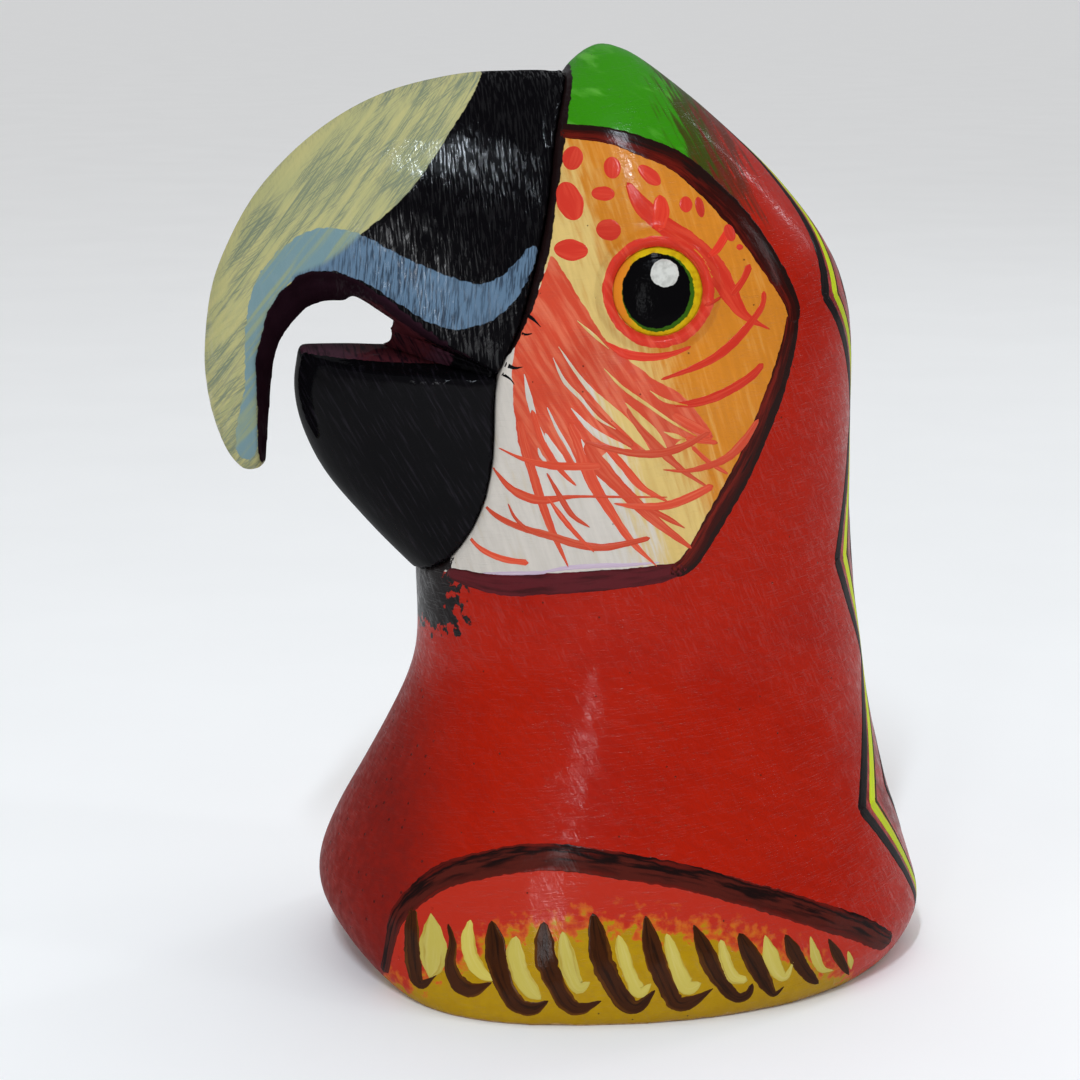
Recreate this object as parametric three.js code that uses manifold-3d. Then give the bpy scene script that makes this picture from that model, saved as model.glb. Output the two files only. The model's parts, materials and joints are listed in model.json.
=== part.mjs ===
// A hand shaker (maraca) carved as a macaw's head on its neck. The neck is the handle: it is bored from
// below into a rattle chamber, filled with hard round seeds and closed by a plug flush with the base.
// The two halves of the beak are carved apart from the head and pegged on.
// Millimetres, +Z up, beak along -X, origin at the centre of the flat base.
import * as THREE from 'three';
import { mergeVertices } from 'three/addons/utils/BufferGeometryUtils.js';
import Module from 'manifold-3d';

const wasm = await Module();
wasm.setup();

// Driving dimensions.
const HEIGHT = 139;
const GAP = 0.3;
const FAR = 90;
const HEAD_RINGS = 38;
const HEAD_SIDES = 36;
const BEAK_STATIONS = 28;
const BEAK_SIDES = 24;

const BORE_RADIUS = 20;
const BORE_STRAIGHT_TOP = 48;
const PLUG_RADIUS = 24;
const PLUG_THICKNESS = 8;
const PLUG_CHAMFER = 0.8;

const DOWEL_RADIUS = 3;
const DOWEL_CHAMFER = 0.5;

const EYE_X = 1.6;
const EYE_Z = 105;
const EYE_RADIUS = 6.4;
const EYE_DEPTH = 3;
const EYE_DOME = 1.1;
const LID_WIDTH = 1.5;
const LID_HEIGHT = 0.9;

const SEED_RADIUS = 3;
const SEED_PITCH = 7.8;

// Head and neck, level by level: height, front, back, where it is widest, half width there, and how
// square the front half is in plan (2 is an ellipse).
const HEAD_LEVELS = [
  [0, -38.6, 42.4, -4, 39.6, 3],
  [2.5, -42, 44.8, -3, 40.6, 2.7],
  [6.5, -46, 47, -2, 40.6, 2.3],
  [12, -48.1, 45.9, -1, 39.6, 2.15],
  [20, -45.3, 43.2, 0, 37.4, 2.15],
  [30, -39.7, 40.3, 1, 33.6, 2.15],
  [40, -34.4, 38.1, 3, 30.6, 2.15],
  [48, -31.8, 36.9, 4, 28.8, 2.15],
  [56, -32.2, 35.8, 5, 28, 2.15],
  [64, -31.5, 35, 6, 27.8, 2.15],
  [76, -30, 34.4, 7, 28, 2.15],
  [90, -28.5, 34.4, 9, 28, 2.15],
  [100, -25, 33.8, 10, 27.2, 2.15],
  [110, -21.5, 30, 9, 25, 2.15],
  [120, -19, 21.9, 5, 21, 2.15],
  [128, -17, 13.2, 1, 16.6, 2.15],
  [133, -13.6, 7.2, -1.6, 12.6, 2.1],
  [135.4, -9.3, 4, -2.6, 9.4, 2],
  [137, -7.6, 1.6, -3.2, 7, 2],
  [138.3, -5.9, -0.9, -3.6, 4.1, 2],
  [HEIGHT, -4, -3.6, -3.8, 0.3, 2],
];
const BACK_SQUARENESS = 2.05;

// Upper half of the beak, from inside the head to the hooked tip: ridge x and z, lower edge x and z,
// half width, and how far the section runs on below the edge.
const UPPER_STATIONS = [
  [0, 133, -10, 92, 20, 8],
  [-9.1, 134.8, -19.4, 93.2, 19.4, 8],
  [-21.7, 135.4, -28.2, 96.8, 18, 8],
  [-33.6, 133.1, -36.7, 102.6, 15.8, 8],
  [-41.4, 129.6, -41.4, 105.6, 14.4, 8],
  [-48.5, 124.7, -45, 107, 13, 8],
  [-54.2, 118.9, -48.6, 106, 11.6, 8],
  [-58.4, 112.5, -51.6, 103.4, 10.2, 7],
  [-61.5, 105.8, -53.7, 100, 9, 6],
  [-63.1, 98.4, -55.1, 95.7, 7.6, 5],
  [-63.6, 91.6, -55.7, 90.6, 6.2, 4],
  [-62.6, 84.7, -55.8, 85, 4.8, 3],
  [-60.8, 79.2, -55.8, 79.8, 3.6, 2.6],
  [-59, 76.6, -56, 76.8, 2.6, 1.4],
  [-57.8, 75.6, -56.6, 75.7, 1, 0.6],
];
const UPPER_SQUARENESS = 2.1;

// Lower half of the beak, level by level: height, front, half width. It is widest at LOWER_WIDEST_X.
const LOWER_LEVELS = [
  [58, -30, 13],
  [61, -33.2, 14.6],
  [67.4, -39.5, 16.4],
  [75.2, -45.9, 17.6],
  [83, -49.7, 18.2],
  [90, -50.5, 18.4],
  [96, -48.8, 18],
];
const LOWER_WIDEST_X = -20;
const LOWER_BACK = -8;
const LOWER_RINGS = 20;

// Where the beak meets the face, from over the crest down to the chin.
const FACE_LINE = [
  [-9.1, 135.4],
  [-11.4, 127.2],
  [-13.2, 115],
  [-17.1, 99.7],
  [-20.6, 91.4],
  [-21.2, 80],
  [-23, 71.6],
  [-27, 64.4],
  [-32.8, 60],
];

// The mouth is a notch with bevelled walls. Each row is one edge of the roof: its place in the middle
// of the beak (x, z) and its place at MOUTH_HALF_WIDTH to either side (x, z).
const MOUTH_HALF_WIDTH = 21;
const MOUTH_ROOF = [
  [-55, 72, -62, 72],
  [-54.6, 78, -62, 79],
  [-53.9, 86, -61.8, 87.5],
  [-53.3, 92, -61, 97.4],
  [-52.2, 95.4, -56, 107.6],
  [-50.3, 97.9, -53.7, 109.8],
  [-48.1, 100.1, -50.6, 111.2],
  [-45.8, 100.9, -48.1, 111.2],
  [-43.5, 101.1, -44.6, 110],
  [-41.5, 100.7, -40.4, 107.7],
  [-39.2, 99.6, -35.7, 103.8],
  [-37, 97.9, -31, 99.8],
  [-35.6, 96.8, -26.5, 96.6],
];
const MOUTH_CORNER = [-35.1, 94.8, -18, 91.6];
const MOUTH_FLOOR = [
  [-36, 94.5, -22.4, 91.1],
  [-FAR, 94.5, -FAR, 90.2],
];
const SEAM_BACK_X = -2;
const SEAM_BACK_Z = 88.6;

const COLOURS = {
  red: 0xa51c0f,
  olive: 0xc8be82,
  black: 0x141114,
  balsa: 0xcaa878,
  ramin: 0xd6b98a,
  yellow: 0xd8c020,
  seed: 0x1f1814,
};

const group = new THREE.Group();

function material(colour, roughness) {
  return new THREE.MeshStandardMaterial({ color: colour, roughness, metalness: 0 });
}

function addPart(name, geometry, surface) {
  const mesh = new THREE.Mesh(geometry, surface);
  mesh.name = name;
  group.add(mesh);
  return mesh;
}

// Solids: three.js geometry in, joined or cut, and three.js geometry out.
function toSolid(source) {
  const bare = source.clone();
  bare.deleteAttribute('normal');
  bare.deleteAttribute('uv');
  const welded = mergeVertices(bare, 1e-4);
  const corners = welded.index.array;
  const kept = [];
  for (let i = 0; i < corners.length; i += 3) {
    const [a, b, c] = [corners[i], corners[i + 1], corners[i + 2]];
    if (a !== b && b !== c && c !== a) kept.push(a, b, c);
  }
  return new wasm.Manifold(new wasm.Mesh({
    numProp: 3,
    vertProperties: new Float32Array(welded.attributes.position.array),
    triVerts: new Uint32Array(kept),
  }));
}

function fromSolid(solid) {
  const { numProp, vertProperties, triVerts } = solid.getMesh();
  const positions = new Float32Array((vertProperties.length / numProp) * 3);
  for (let i = 0; i < positions.length / 3; i += 1) {
    positions.set(vertProperties.subarray(i * numProp, i * numProp + 3), i * 3);
  }
  const geometry = new THREE.BufferGeometry();
  geometry.setAttribute('position', new THREE.BufferAttribute(positions, 3));
  geometry.setIndex(new THREE.BufferAttribute(new Uint32Array(triVerts), 1));
  geometry.computeVertexNormals();
  return geometry;
}

// A smooth curve through the rows of a table, read at any value of the first column.
function smoothTable(rows) {
  const keys = rows.map((row) => row[0]);
  const values = rows.flatMap((row) => row.slice(1));
  const curve = new THREE.CubicInterpolant(keys, values, rows[0].length - 1);
  return (key) => Array.from(curve.evaluate(key));
}

// A closed surface through a run of rings with equal numbers of points, capped at both ends.
function loft(rings) {
  const sides = rings[0].length;
  const positions = [];
  const triangles = [];
  rings.flat().forEach((point) => positions.push(...point.toArray()));
  for (let r = 0; r < rings.length - 1; r += 1) {
    for (let s = 0; s < sides; s += 1) {
      const next = (s + 1) % sides;
      const [a, b] = [r * sides + s, r * sides + next];
      const [c, d] = [a + sides, b + sides];
      triangles.push(a, b, d, a, d, c);
    }
  }
  [0, rings.length - 1].forEach((r) => {
    const centre = positions.length / 3;
    const middle = new THREE.Vector3();
    rings[r].forEach((point) => middle.add(point));
    positions.push(...middle.divideScalar(sides).toArray());
    for (let s = 0; s < sides; s += 1) {
      const [a, b] = [r * sides + s, r * sides + ((s + 1) % sides)];
      if (r === 0) triangles.push(centre, b, a);
      else triangles.push(centre, a, b);
    }
  });
  const geometry = new THREE.BufferGeometry();
  geometry.setAttribute('position', new THREE.Float32BufferAttribute(positions, 3));
  geometry.setIndex(triangles);
  return geometry;
}

// Heights that crowd together at both ends, where the form turns fastest.
function crowdedHeights(count, low, high) {
  const spread = (v) => 0.5 - 0.5 * Math.cos(Math.PI * v);
  return Array.from({ length: count + 1 }, (_, i) => low + (high - low) * spread(i / count));
}

function rounded(value, squareness) {
  return Math.sign(value) * Math.abs(value) ** (2 / squareness);
}

// A level ring whose front and back are halves of two superellipses that meet where it is widest.
function levelRing(z, [front, back, widest, halfWidth, frontSquareness, backSquareness], sides) {
  return Array.from({ length: sides }, (_, i) => {
    const turn = (2 * Math.PI * i) / sides;
    const forward = Math.cos(turn) < 0;
    const squareness = forward ? frontSquareness : backSquareness;
    const along = rounded(Math.cos(turn), squareness) * (forward ? widest - front : back - widest);
    const across = rounded(Math.sin(turn), squareness) * halfWidth;
    return new THREE.Vector3(widest + along, across, z);
  });
}

const headAt = smoothTable(HEAD_LEVELS);

function headVolume() {
  const rings = crowdedHeights(HEAD_RINGS, 0, HEIGHT).map((z) => (
    levelRing(z, [...headAt(z), BACK_SQUARENESS], HEAD_SIDES)));
  return toSolid(loft(rings));
}

// Half width of the head at a place in front of its widest line.
function headHalfWidth(x, z) {
  const [front, , widest, halfWidth, squareness] = headAt(z);
  const along = (widest - x) / (widest - front);
  return halfWidth * (1 - along ** squareness) ** (1 / squareness);
}

function upperBeakVolume() {
  const stations = UPPER_STATIONS.map((row, i) => [i, ...row]);
  const stationAt = smoothTable(stations);
  const last = stations.length - 1;
  const rings = Array.from({ length: BEAK_STATIONS + 1 }, (_, i) => {
    const [ridgeX, ridgeZ, edgeX, edgeZ, halfWidth, below] = stationAt((last * i) / BEAK_STATIONS);
    const ridge = new THREE.Vector3(ridgeX, 0, ridgeZ);
    const edge = new THREE.Vector3(edgeX, 0, edgeZ);
    const up = ridge.clone().sub(edge);
    const rise = up.length();
    up.normalize();
    return Array.from({ length: BEAK_SIDES }, (_unused, s) => {
      const turn = (-2 * Math.PI * s) / BEAK_SIDES;
      const height = rounded(Math.sin(turn), UPPER_SQUARENESS);
      const across = rounded(Math.cos(turn), UPPER_SQUARENESS) * halfWidth;
      const point = edge.clone().addScaledVector(up, height * (height > 0 ? rise : below));
      return point.setY(across);
    });
  });
  return toSolid(loft(rings));
}

function lowerBeakVolume() {
  const levelAt = smoothTable(LOWER_LEVELS);
  const [lowest, highest] = [LOWER_LEVELS[0][0], LOWER_LEVELS.at(-1)[0]];
  const rings = Array.from({ length: LOWER_RINGS + 1 }, (_, i) => {
    const z = lowest + ((highest - lowest) * i) / LOWER_RINGS;
    const [front, halfWidth] = levelAt(z);
    return levelRing(z, [front, LOWER_BACK, LOWER_WIDEST_X, halfWidth, 2, 2], BEAK_SIDES);
  });
  return toSolid(loft(rings));
}

// Everything in front of the face line, moved forward or back by a clearance.
function beakRegion(clearance) {
  const line = FACE_LINE.map(([x, z]) => new THREE.Vector2(x - clearance, z));
  const outline = new THREE.Shape();
  outline.moveTo(-FAR, line[0].y + FAR);
  outline.lineTo(line[0].x, line[0].y + FAR);
  outline.lineTo(line[0].x, line[0].y);
  outline.splineThru(line.slice(1));
  const chin = line.at(-1);
  outline.lineTo(chin.x, chin.y + clearance);
  outline.lineTo(-FAR, chin.y + clearance);
  const slab = new THREE.ExtrudeGeometry(outline, { depth: 2 * FAR, bevelEnabled: false, curveSegments: 3 });
  slab.rotateX(Math.PI / 2);
  slab.translate(0, FAR, 0);
  return toSolid(slab);
}

// A bar across the beak whose outline changes evenly from the middle to both sides.
function bevelledBar(rows) {
  const ring = (side) => rows.map(([midX, midZ, sideX, sideZ]) => (side === 0
    ? new THREE.Vector3(midX, 0, midZ)
    : new THREE.Vector3(sideX, side * MOUTH_HALF_WIDTH, sideZ)));
  const positions = [-1, 0, 1].flatMap(ring).flatMap((point) => point.toArray());
  const outline = rows.map(([, , x, z]) => new THREE.Vector2(x, z));
  const count = rows.length;
  const triangles = [];
  THREE.ShapeUtils.triangulateShape(outline, []).forEach(([a, b, c]) => {
    const clockwise = THREE.ShapeUtils.isClockWise([outline[a], outline[b], outline[c]]);
    const [p, q, r] = clockwise ? [a, c, b] : [a, b, c];
    triangles.push(p, q, r);
    triangles.push(2 * count + p, 2 * count + r, 2 * count + q);
  });
  const step = THREE.ShapeUtils.isClockWise(outline) ? count - 1 : 1;
  for (let i = 0; i < 2 * count; i += 1) {
    const start = i - (i % count);
    const next = start + ((i + step) % count);
    triangles.push(i, next + count, next);
    triangles.push(i, i + count, next + count);
  }
  const geometry = new THREE.BufferGeometry();
  geometry.setAttribute('position', new THREE.Float32BufferAttribute(positions, 3));
  geometry.setIndex(triangles);
  return toSolid(geometry);
}

// All that lies under the roof of the mouth and under the seam behind it.
function belowUpperBeak() {
  return bevelledBar([
    ...MOUTH_ROOF,
    MOUTH_CORNER,
    [SEAM_BACK_X, SEAM_BACK_Z, SEAM_BACK_X, SEAM_BACK_Z],
    [SEAM_BACK_X, -FAR, SEAM_BACK_X, -FAR],
    [-FAR, -FAR, -FAR, -FAR],
    [-FAR, MOUTH_ROOF[0][1], -FAR, MOUTH_ROOF[0][3]],
  ]);
}

// All that lies over the floor of the mouth and over the seam, less the clearance of the glue line.
function aboveLowerBeak() {
  const [cornerX, cornerZ, sideX, sideZ] = MOUTH_CORNER;
  return bevelledBar([
    [SEAM_BACK_X, SEAM_BACK_Z - GAP, SEAM_BACK_X, SEAM_BACK_Z - GAP],
    [cornerX, cornerZ - GAP, sideX, sideZ - GAP],
    ...MOUTH_FLOOR,
    [-FAR, 2 * FAR, -FAR, 2 * FAR],
    [SEAM_BACK_X, 2 * FAR, SEAM_BACK_X, 2 * FAR],
  ]);
}

// A round rod along X from one end to the other, with chamfered ends.
function rodAlongX(radius, fromX, toX, z, chamfer) {
  const length = toX - fromX;
  const profile = [
    new THREE.Vector2(0, 0),
    new THREE.Vector2(radius - chamfer, 0),
    new THREE.Vector2(radius, chamfer),
    new THREE.Vector2(radius, length - chamfer),
    new THREE.Vector2(radius - chamfer, length),
    new THREE.Vector2(0, length),
  ];
  const rod = new THREE.LatheGeometry(profile, 20);
  rod.rotateZ(-Math.PI / 2);
  rod.translate(fromX, 0, z);
  return rod;
}

const DOWELS = [
  { name: 'upper_beak_dowel_top', fromX: -30, toX: 1, z: 119 },
  { name: 'upper_beak_dowel_bottom', fromX: -33, toX: -2, z: 105 },
  { name: 'lower_beak_dowel', fromX: -36, toX: -8, z: 78 },
];

function dowelHoles() {
  return DOWELS.map(({ fromX, toX, z }) => (
    toSolid(rodAlongX(DOWEL_RADIUS + GAP, fromX - GAP, toX + GAP, z, DOWEL_CHAMFER))));
}

// The rattle chamber: a straight bore with a domed end, and a wider seat for the plug below it.
function chamber() {
  const profile = new THREE.Path();
  profile.moveTo(0, -GAP);
  profile.lineTo(PLUG_RADIUS + GAP, -GAP);
  profile.lineTo(PLUG_RADIUS + GAP, PLUG_THICKNESS + GAP);
  profile.lineTo(BORE_RADIUS, PLUG_THICKNESS + GAP);
  profile.lineTo(BORE_RADIUS, BORE_STRAIGHT_TOP);
  profile.absarc(0, BORE_STRAIGHT_TOP, BORE_RADIUS, 0, Math.PI / 2, false);
  const hollow = new THREE.LatheGeometry(profile.getPoints(5), 32);
  hollow.rotateX(Math.PI / 2);
  return toSolid(hollow);
}

function basePlug() {
  const profile = [
    new THREE.Vector2(0, 0),
    new THREE.Vector2(PLUG_RADIUS - PLUG_CHAMFER, 0),
    new THREE.Vector2(PLUG_RADIUS, PLUG_CHAMFER),
    new THREE.Vector2(PLUG_RADIUS, PLUG_THICKNESS),
    new THREE.Vector2(0, PLUG_THICKNESS),
  ];
  const plug = new THREE.LatheGeometry(profile, 48);
  plug.rotateX(Math.PI / 2);
  return plug;
}

// Places a piece that was made round the Z axis on the side of the head, facing out of the eye.
function atEye(geometry, side) {
  const step = 1;
  const halfWidth = headHalfWidth(EYE_X, EYE_Z);
  const slopeX = (headHalfWidth(EYE_X + step, EYE_Z) - headHalfWidth(EYE_X - step, EYE_Z)) / (2 * step);
  const slopeZ = (headHalfWidth(EYE_X, EYE_Z + step) - headHalfWidth(EYE_X, EYE_Z - step)) / (2 * step);
  const outward = new THREE.Vector3(-slopeX, side, -slopeZ).normalize();
  const turn = new THREE.Quaternion().setFromUnitVectors(new THREE.Vector3(0, 0, 1), outward);
  const placed = geometry.clone().applyQuaternion(turn);
  return placed.translate(EYE_X, side * halfWidth, EYE_Z);
}

// The eye is a turned button with a domed face, sunk into a socket inside a raised lid.
function eyeButton() {
  const profile = new THREE.Path();
  profile.moveTo(0, -EYE_DEPTH);
  profile.lineTo(EYE_RADIUS, -EYE_DEPTH);
  profile.lineTo(EYE_RADIUS, 0);
  profile.quadraticCurveTo(EYE_RADIUS * 0.6, EYE_DOME, 0, EYE_DOME);
  const button = new THREE.LatheGeometry(profile.getPoints(4), 24);
  return button.rotateX(Math.PI / 2);
}

function eyeSocket() {
  const socket = new THREE.CylinderGeometry(EYE_RADIUS + GAP, EYE_RADIUS + GAP, 4 * EYE_DEPTH, 24);
  return socket.rotateX(Math.PI / 2).translate(0, 0, EYE_DEPTH - GAP);
}

function eyeLid() {
  const inner = EYE_RADIUS - 1;
  const outer = EYE_RADIUS + GAP + LID_WIDTH;
  const profile = new THREE.Path();
  profile.moveTo(inner, -EYE_DEPTH);
  profile.lineTo(outer, -EYE_DEPTH);
  profile.lineTo(outer, 0);
  profile.quadraticCurveTo(outer - 0.2, LID_HEIGHT, outer - 0.8, LID_HEIGHT);
  profile.lineTo(inner, LID_HEIGHT);
  profile.lineTo(inner, -EYE_DEPTH);
  const lid = new THREE.LatheGeometry(profile.getPoints(3), 24);
  return lid.rotateX(Math.PI / 2);
}

const SIDES = [
  { name: 'eye_left', side: -1 },
  { name: 'eye_right', side: 1 },
];

// The seeds lie on the plug in one layer, at the points of a hexagonal grid inside the bore.
function seedPlaces() {
  const reach = BORE_RADIUS - SEED_RADIUS - 2 * GAP;
  const places = [];
  for (let row = -3; row <= 3; row += 1) {
    for (let column = -3; column <= 3; column += 1) {
      const x = SEED_PITCH * (column + row / 2);
      const y = SEED_PITCH * row * Math.sin(Math.PI / 3);
      if (Math.hypot(x, y) <= reach) places.push([x, y]);
    }
  }
  return places;
}

function addWoodenPieces() {
  const headAndChin = headVolume().add(lowerBeakVolume());
  const headAndHook = headVolume().add(upperBeakVolume());
  const holes = dowelHoles();
  const pierced = (solid) => holes.reduce((rest, hole) => rest.subtract(hole), solid);

  let head = headAndChin.add(headAndHook).subtract(beakRegion(0));
  SIDES.forEach(({ side }) => {
    head = head.add(toSolid(atEye(eyeLid(), side)));
    head = head.subtract(toSolid(atEye(eyeSocket(), side)));
  });
  head = pierced(head.subtract(chamber()));
  addPart('head_shell', fromSolid(head), material(COLOURS.red, 0.35));

  const inFront = beakRegion(GAP);
  const upper = pierced(headAndHook.intersect(inFront).subtract(belowUpperBeak()));
  addPart('upper_beak', fromSolid(upper), material(COLOURS.olive, 0.3));
  const lower = pierced(headAndChin.intersect(inFront).subtract(aboveLowerBeak()));
  addPart('lower_beak', fromSolid(lower), material(COLOURS.black, 0.2));
  addPart('base_plug', basePlug(), material(COLOURS.balsa, 0.8));
  DOWELS.forEach(({ name, fromX, toX, z }) => {
    addPart(name, rodAlongX(DOWEL_RADIUS, fromX, toX, z, DOWEL_CHAMFER), material(COLOURS.ramin, 0.7));
  });
}

function addEyes() {
  SIDES.forEach(({ name, side }) => {
    addPart(name, atEye(eyeButton(), side), material(COLOURS.yellow, 0.25));
  });
}

function addSeeds() {
  seedPlaces().forEach(([x, y], i) => {
    const seed = addPart(
      `seed_${String(i + 1).padStart(2, '0')}`,
      new THREE.IcosahedronGeometry(SEED_RADIUS, 1),
      material(COLOURS.seed, 0.4),
    );
    seed.position.set(x, y, PLUG_THICKNESS + GAP + SEED_RADIUS);
  });
}

addWoodenPieces();
addEyes();
addSeeds();

export default group;
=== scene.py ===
"""The looks of a hand-painted wooden maraca, carved as a macaw's head on its neck.

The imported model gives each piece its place. Here the carved pieces get a fine surface and their
grounds of paint, the painter's strokes are laid over them as thin films, and the eyes, seeds, pegs
and plug are made in detail. Tables of paint are in millimetres; Blender's own lengths are metres.
"""
import json
import math
import random

import bmesh
import bpy
import numpy as np
from mathutils import Matrix, Vector, noise
from mathutils.bvhtree import BVHTree


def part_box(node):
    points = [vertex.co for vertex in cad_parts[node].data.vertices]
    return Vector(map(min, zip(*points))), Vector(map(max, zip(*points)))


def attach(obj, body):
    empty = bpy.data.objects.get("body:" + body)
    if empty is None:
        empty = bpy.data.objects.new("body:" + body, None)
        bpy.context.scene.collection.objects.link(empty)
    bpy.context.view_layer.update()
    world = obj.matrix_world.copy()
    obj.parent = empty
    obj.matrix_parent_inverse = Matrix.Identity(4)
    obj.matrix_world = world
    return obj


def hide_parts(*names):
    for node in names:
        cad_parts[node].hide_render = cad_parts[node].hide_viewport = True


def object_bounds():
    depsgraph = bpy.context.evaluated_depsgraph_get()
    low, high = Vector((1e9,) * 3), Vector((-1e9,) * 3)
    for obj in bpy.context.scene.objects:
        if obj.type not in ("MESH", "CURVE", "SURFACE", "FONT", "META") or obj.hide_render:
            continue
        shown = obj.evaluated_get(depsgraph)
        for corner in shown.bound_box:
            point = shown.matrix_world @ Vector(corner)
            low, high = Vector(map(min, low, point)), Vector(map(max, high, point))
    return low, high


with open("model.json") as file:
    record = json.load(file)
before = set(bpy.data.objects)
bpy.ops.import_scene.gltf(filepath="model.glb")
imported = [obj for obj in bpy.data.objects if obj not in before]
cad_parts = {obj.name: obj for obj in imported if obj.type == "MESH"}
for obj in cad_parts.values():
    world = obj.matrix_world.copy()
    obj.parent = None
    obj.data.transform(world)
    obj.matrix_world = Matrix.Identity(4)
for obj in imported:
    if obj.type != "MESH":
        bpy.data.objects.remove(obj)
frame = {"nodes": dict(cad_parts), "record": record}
cad_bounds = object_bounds()

MM = 0.001
BODY = "shaker"
SIDES = {"left": -1, "right": 1}
FAR = 90

# How finely a carved piece is remeshed, in mm, how often it is smoothed, and how far it then swells.
HEAD_FINISH = (0.77, 8, 0.12)
BEAK_FINISH = (0.45, 8, 0.1)

# Which edges of the CAD mesh stay sharp, which of its triangles are joined up first, and how close
# corners are welded, in metres; then the size and depth of the carver's lumps.
CREASE_ANGLE = math.radians(34)
JOIN_ANGLE, JOIN_SKEW = 0.3, 1.2
WELD = 2e-6
LUMP_SIZE, LUMP_DEPTH = 9.0, 0.12

# Films of paint: the step along and across, the thinnest stroke, the thickness, how deep the edges
# and the underside are sunk, how much higher each later stroke lies, and how ragged the edges are.
FILM_STEP = 0.45
THINNEST = 0.12
FILM_LIFT = 0.024
EDGE_SINK = 0.03
FILM_SINK = 0.22
LAYER_STEP = 0.002
LINE_RAGGED = 0.08
FEATHER_RAGGED = 0.14

# How far from the middle the bare wood of the bore reaches, round the plug.
BORE_REACH = 24.6

# The eye: its dome and radius, the rings painted on it, the white dot, and the lid round it.
EYE_DOME = 1.1
EYE_RADIUS = 6.35
PUPIL_RADIUS = 4.75
GREEN_RADIUS = 5.15
DOT_X, DOT_Z, DOT_RADIUS = 1.0, 2.5, 2.0
LID_INNER, LID_OUTER, LID_CROWN = 6.37, 9.4, 1.12
RING_OUTER = 7.8

# Starting numbers of the random draws.
SPOT_DEAL, SIDE_DEAL, STRIP_DEAL, SEED_DEAL = 5, 10, 70, 200

# Paints, as 0 to 255 in sRGB: the neck and crest, the face, the bib and back, the beak, the eye, wood.
RED = (166, 26, 6)
DEEP_RED = (146, 16, 6)
# Painted shade: the dark red-brown laid over the red where the chest turns away from the light.
CHEST_SHADE = (104, 26, 22)
PIT = (60, 16, 14)
GREEN = (50, 132, 10)
LIGHT_GREEN = (84, 158, 48)
MOSS = (58, 66, 14)
BROWN = (98, 36, 20)

ORANGE = (206, 126, 36)
STRAW = (216, 184, 112)
CHALK = (206, 197, 186)
CORAL = (204, 72, 48)
LIGHT_CORAL = (218, 108, 78)
SCARLET = (206, 52, 36)
LIGHT_SCARLET = (226, 92, 66)
SEAM = (26, 14, 14)
SOOT = (26, 20, 20)
PORE = (52, 30, 20)

BIB_RED = (180, 44, 28)
BIB_ORANGE = (198, 96, 30)
YELLOW = (182, 143, 6)
OCHRE = (162, 122, 12)
PANEL_RED = (120, 24, 22)
PANEL_PINK = (168, 56, 52)

BLACK = (9, 8, 10)
WORN_BLACK = (24, 20, 22)
GREY_BLACK = (30, 27, 32)
OLIVE = (172, 169, 118)
LIGHT_OLIVE = (182, 175, 120)
WORN_OLIVE = (134, 140, 106)
SLATE = (92, 106, 104)
BLUE = (92, 116, 138)
DARK_BLUE = (42, 52, 66)
SKY = (114, 140, 144)
SKY_OLIVE = (138, 150, 124)
MAROON = (38, 20, 28)
MULBERRY = (84, 36, 42)
ROSE = (78, 44, 56)

EYE_YELLOW = (208, 178, 22)
EYE_OCHRE = (190, 152, 18)
EYE_ORANGE = (214, 128, 36)
EYE_GREEN = (52, 92, 20)
PUPIL = (9, 8, 9)
DOT_WHITE = (206, 204, 196)
DOT_GREY = (178, 176, 168)

WOOD = (206, 168, 118)
WOOD_DARK = (164, 118, 72)
PEG_WOOD = (216, 186, 138)
PEG_WOOD_DARK = (176, 138, 90)
SEED_DARK = (30, 20, 16)
SEED_BROWN = (66, 42, 28)

# Paint for the films: its slot, its two colours and anything else that film_material takes.
FILM_PAINTS = {
    "coral": ("red_paint", CORAL, LIGHT_CORAL, {}),
    "scarlet": ("red_paint", SCARLET, (224, 80, 54), {}),
    "spot": ("red_paint", (196, 52, 38), (210, 72, 52), {}),
    "smear": ("olive_paint", (190, 168, 186), (206, 194, 196), {}),
    "face_line": ("black_paint", (52, 13, 9), (112, 26, 16), {"share": 0.9, "across": (34, 16, 13)}),
    "foot_line": ("black_paint", (92, 26, 32), (58, 16, 18), {"share": 0.9}),
    "soot": ("black_paint", BLACK, (30, 24, 26), {}),
    "arch": (
        "black_paint", (80, 28, 21), (36, 15, 12),
        {"share": 0.9, "across": (26, 12, 11), "edge": (108, 26, 18)},
    ),
    "dark_feather": ("black_paint", (62, 30, 11), (28, 14, 7), {"share": 0.9, "edge": (104, 58, 14)}),
    "pale_feather": ("eye_paint", (198, 180, 84), (208, 194, 116), {"edge": (172, 140, 30)}),
    "strip_dark": ("black_paint", (24, 20, 20), (44, 34, 32), {}),
    "strip_lime": ("eye_paint", (196, 210, 36), (172, 196, 40), {}),
    "strip_moss": ("black_paint", (40, 52, 20), (66, 84, 26), {}),
}


def linear(rgb):
    """An sRGB colour, 0 to 255, as a linear colour with an alpha of 1."""
    shares = [value / 255 for value in rgb]
    return tuple(s / 12.92 if s <= 0.04045 else ((s + 0.055) / 1.055) ** 2.4 for s in shares) + (1.0,)


def fade(values, start, end):
    """0 at start and 1 at end, with a soft change between them."""
    share = np.clip((values - start) / (end - start), 0, 1)
    return share * share * (3 - 2 * share)


def turns(count):
    """Angles in even steps all the way round."""
    return [2 * math.pi * step / count for step in range(count)]


# ---------------------------------------------------------------- materials


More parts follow.
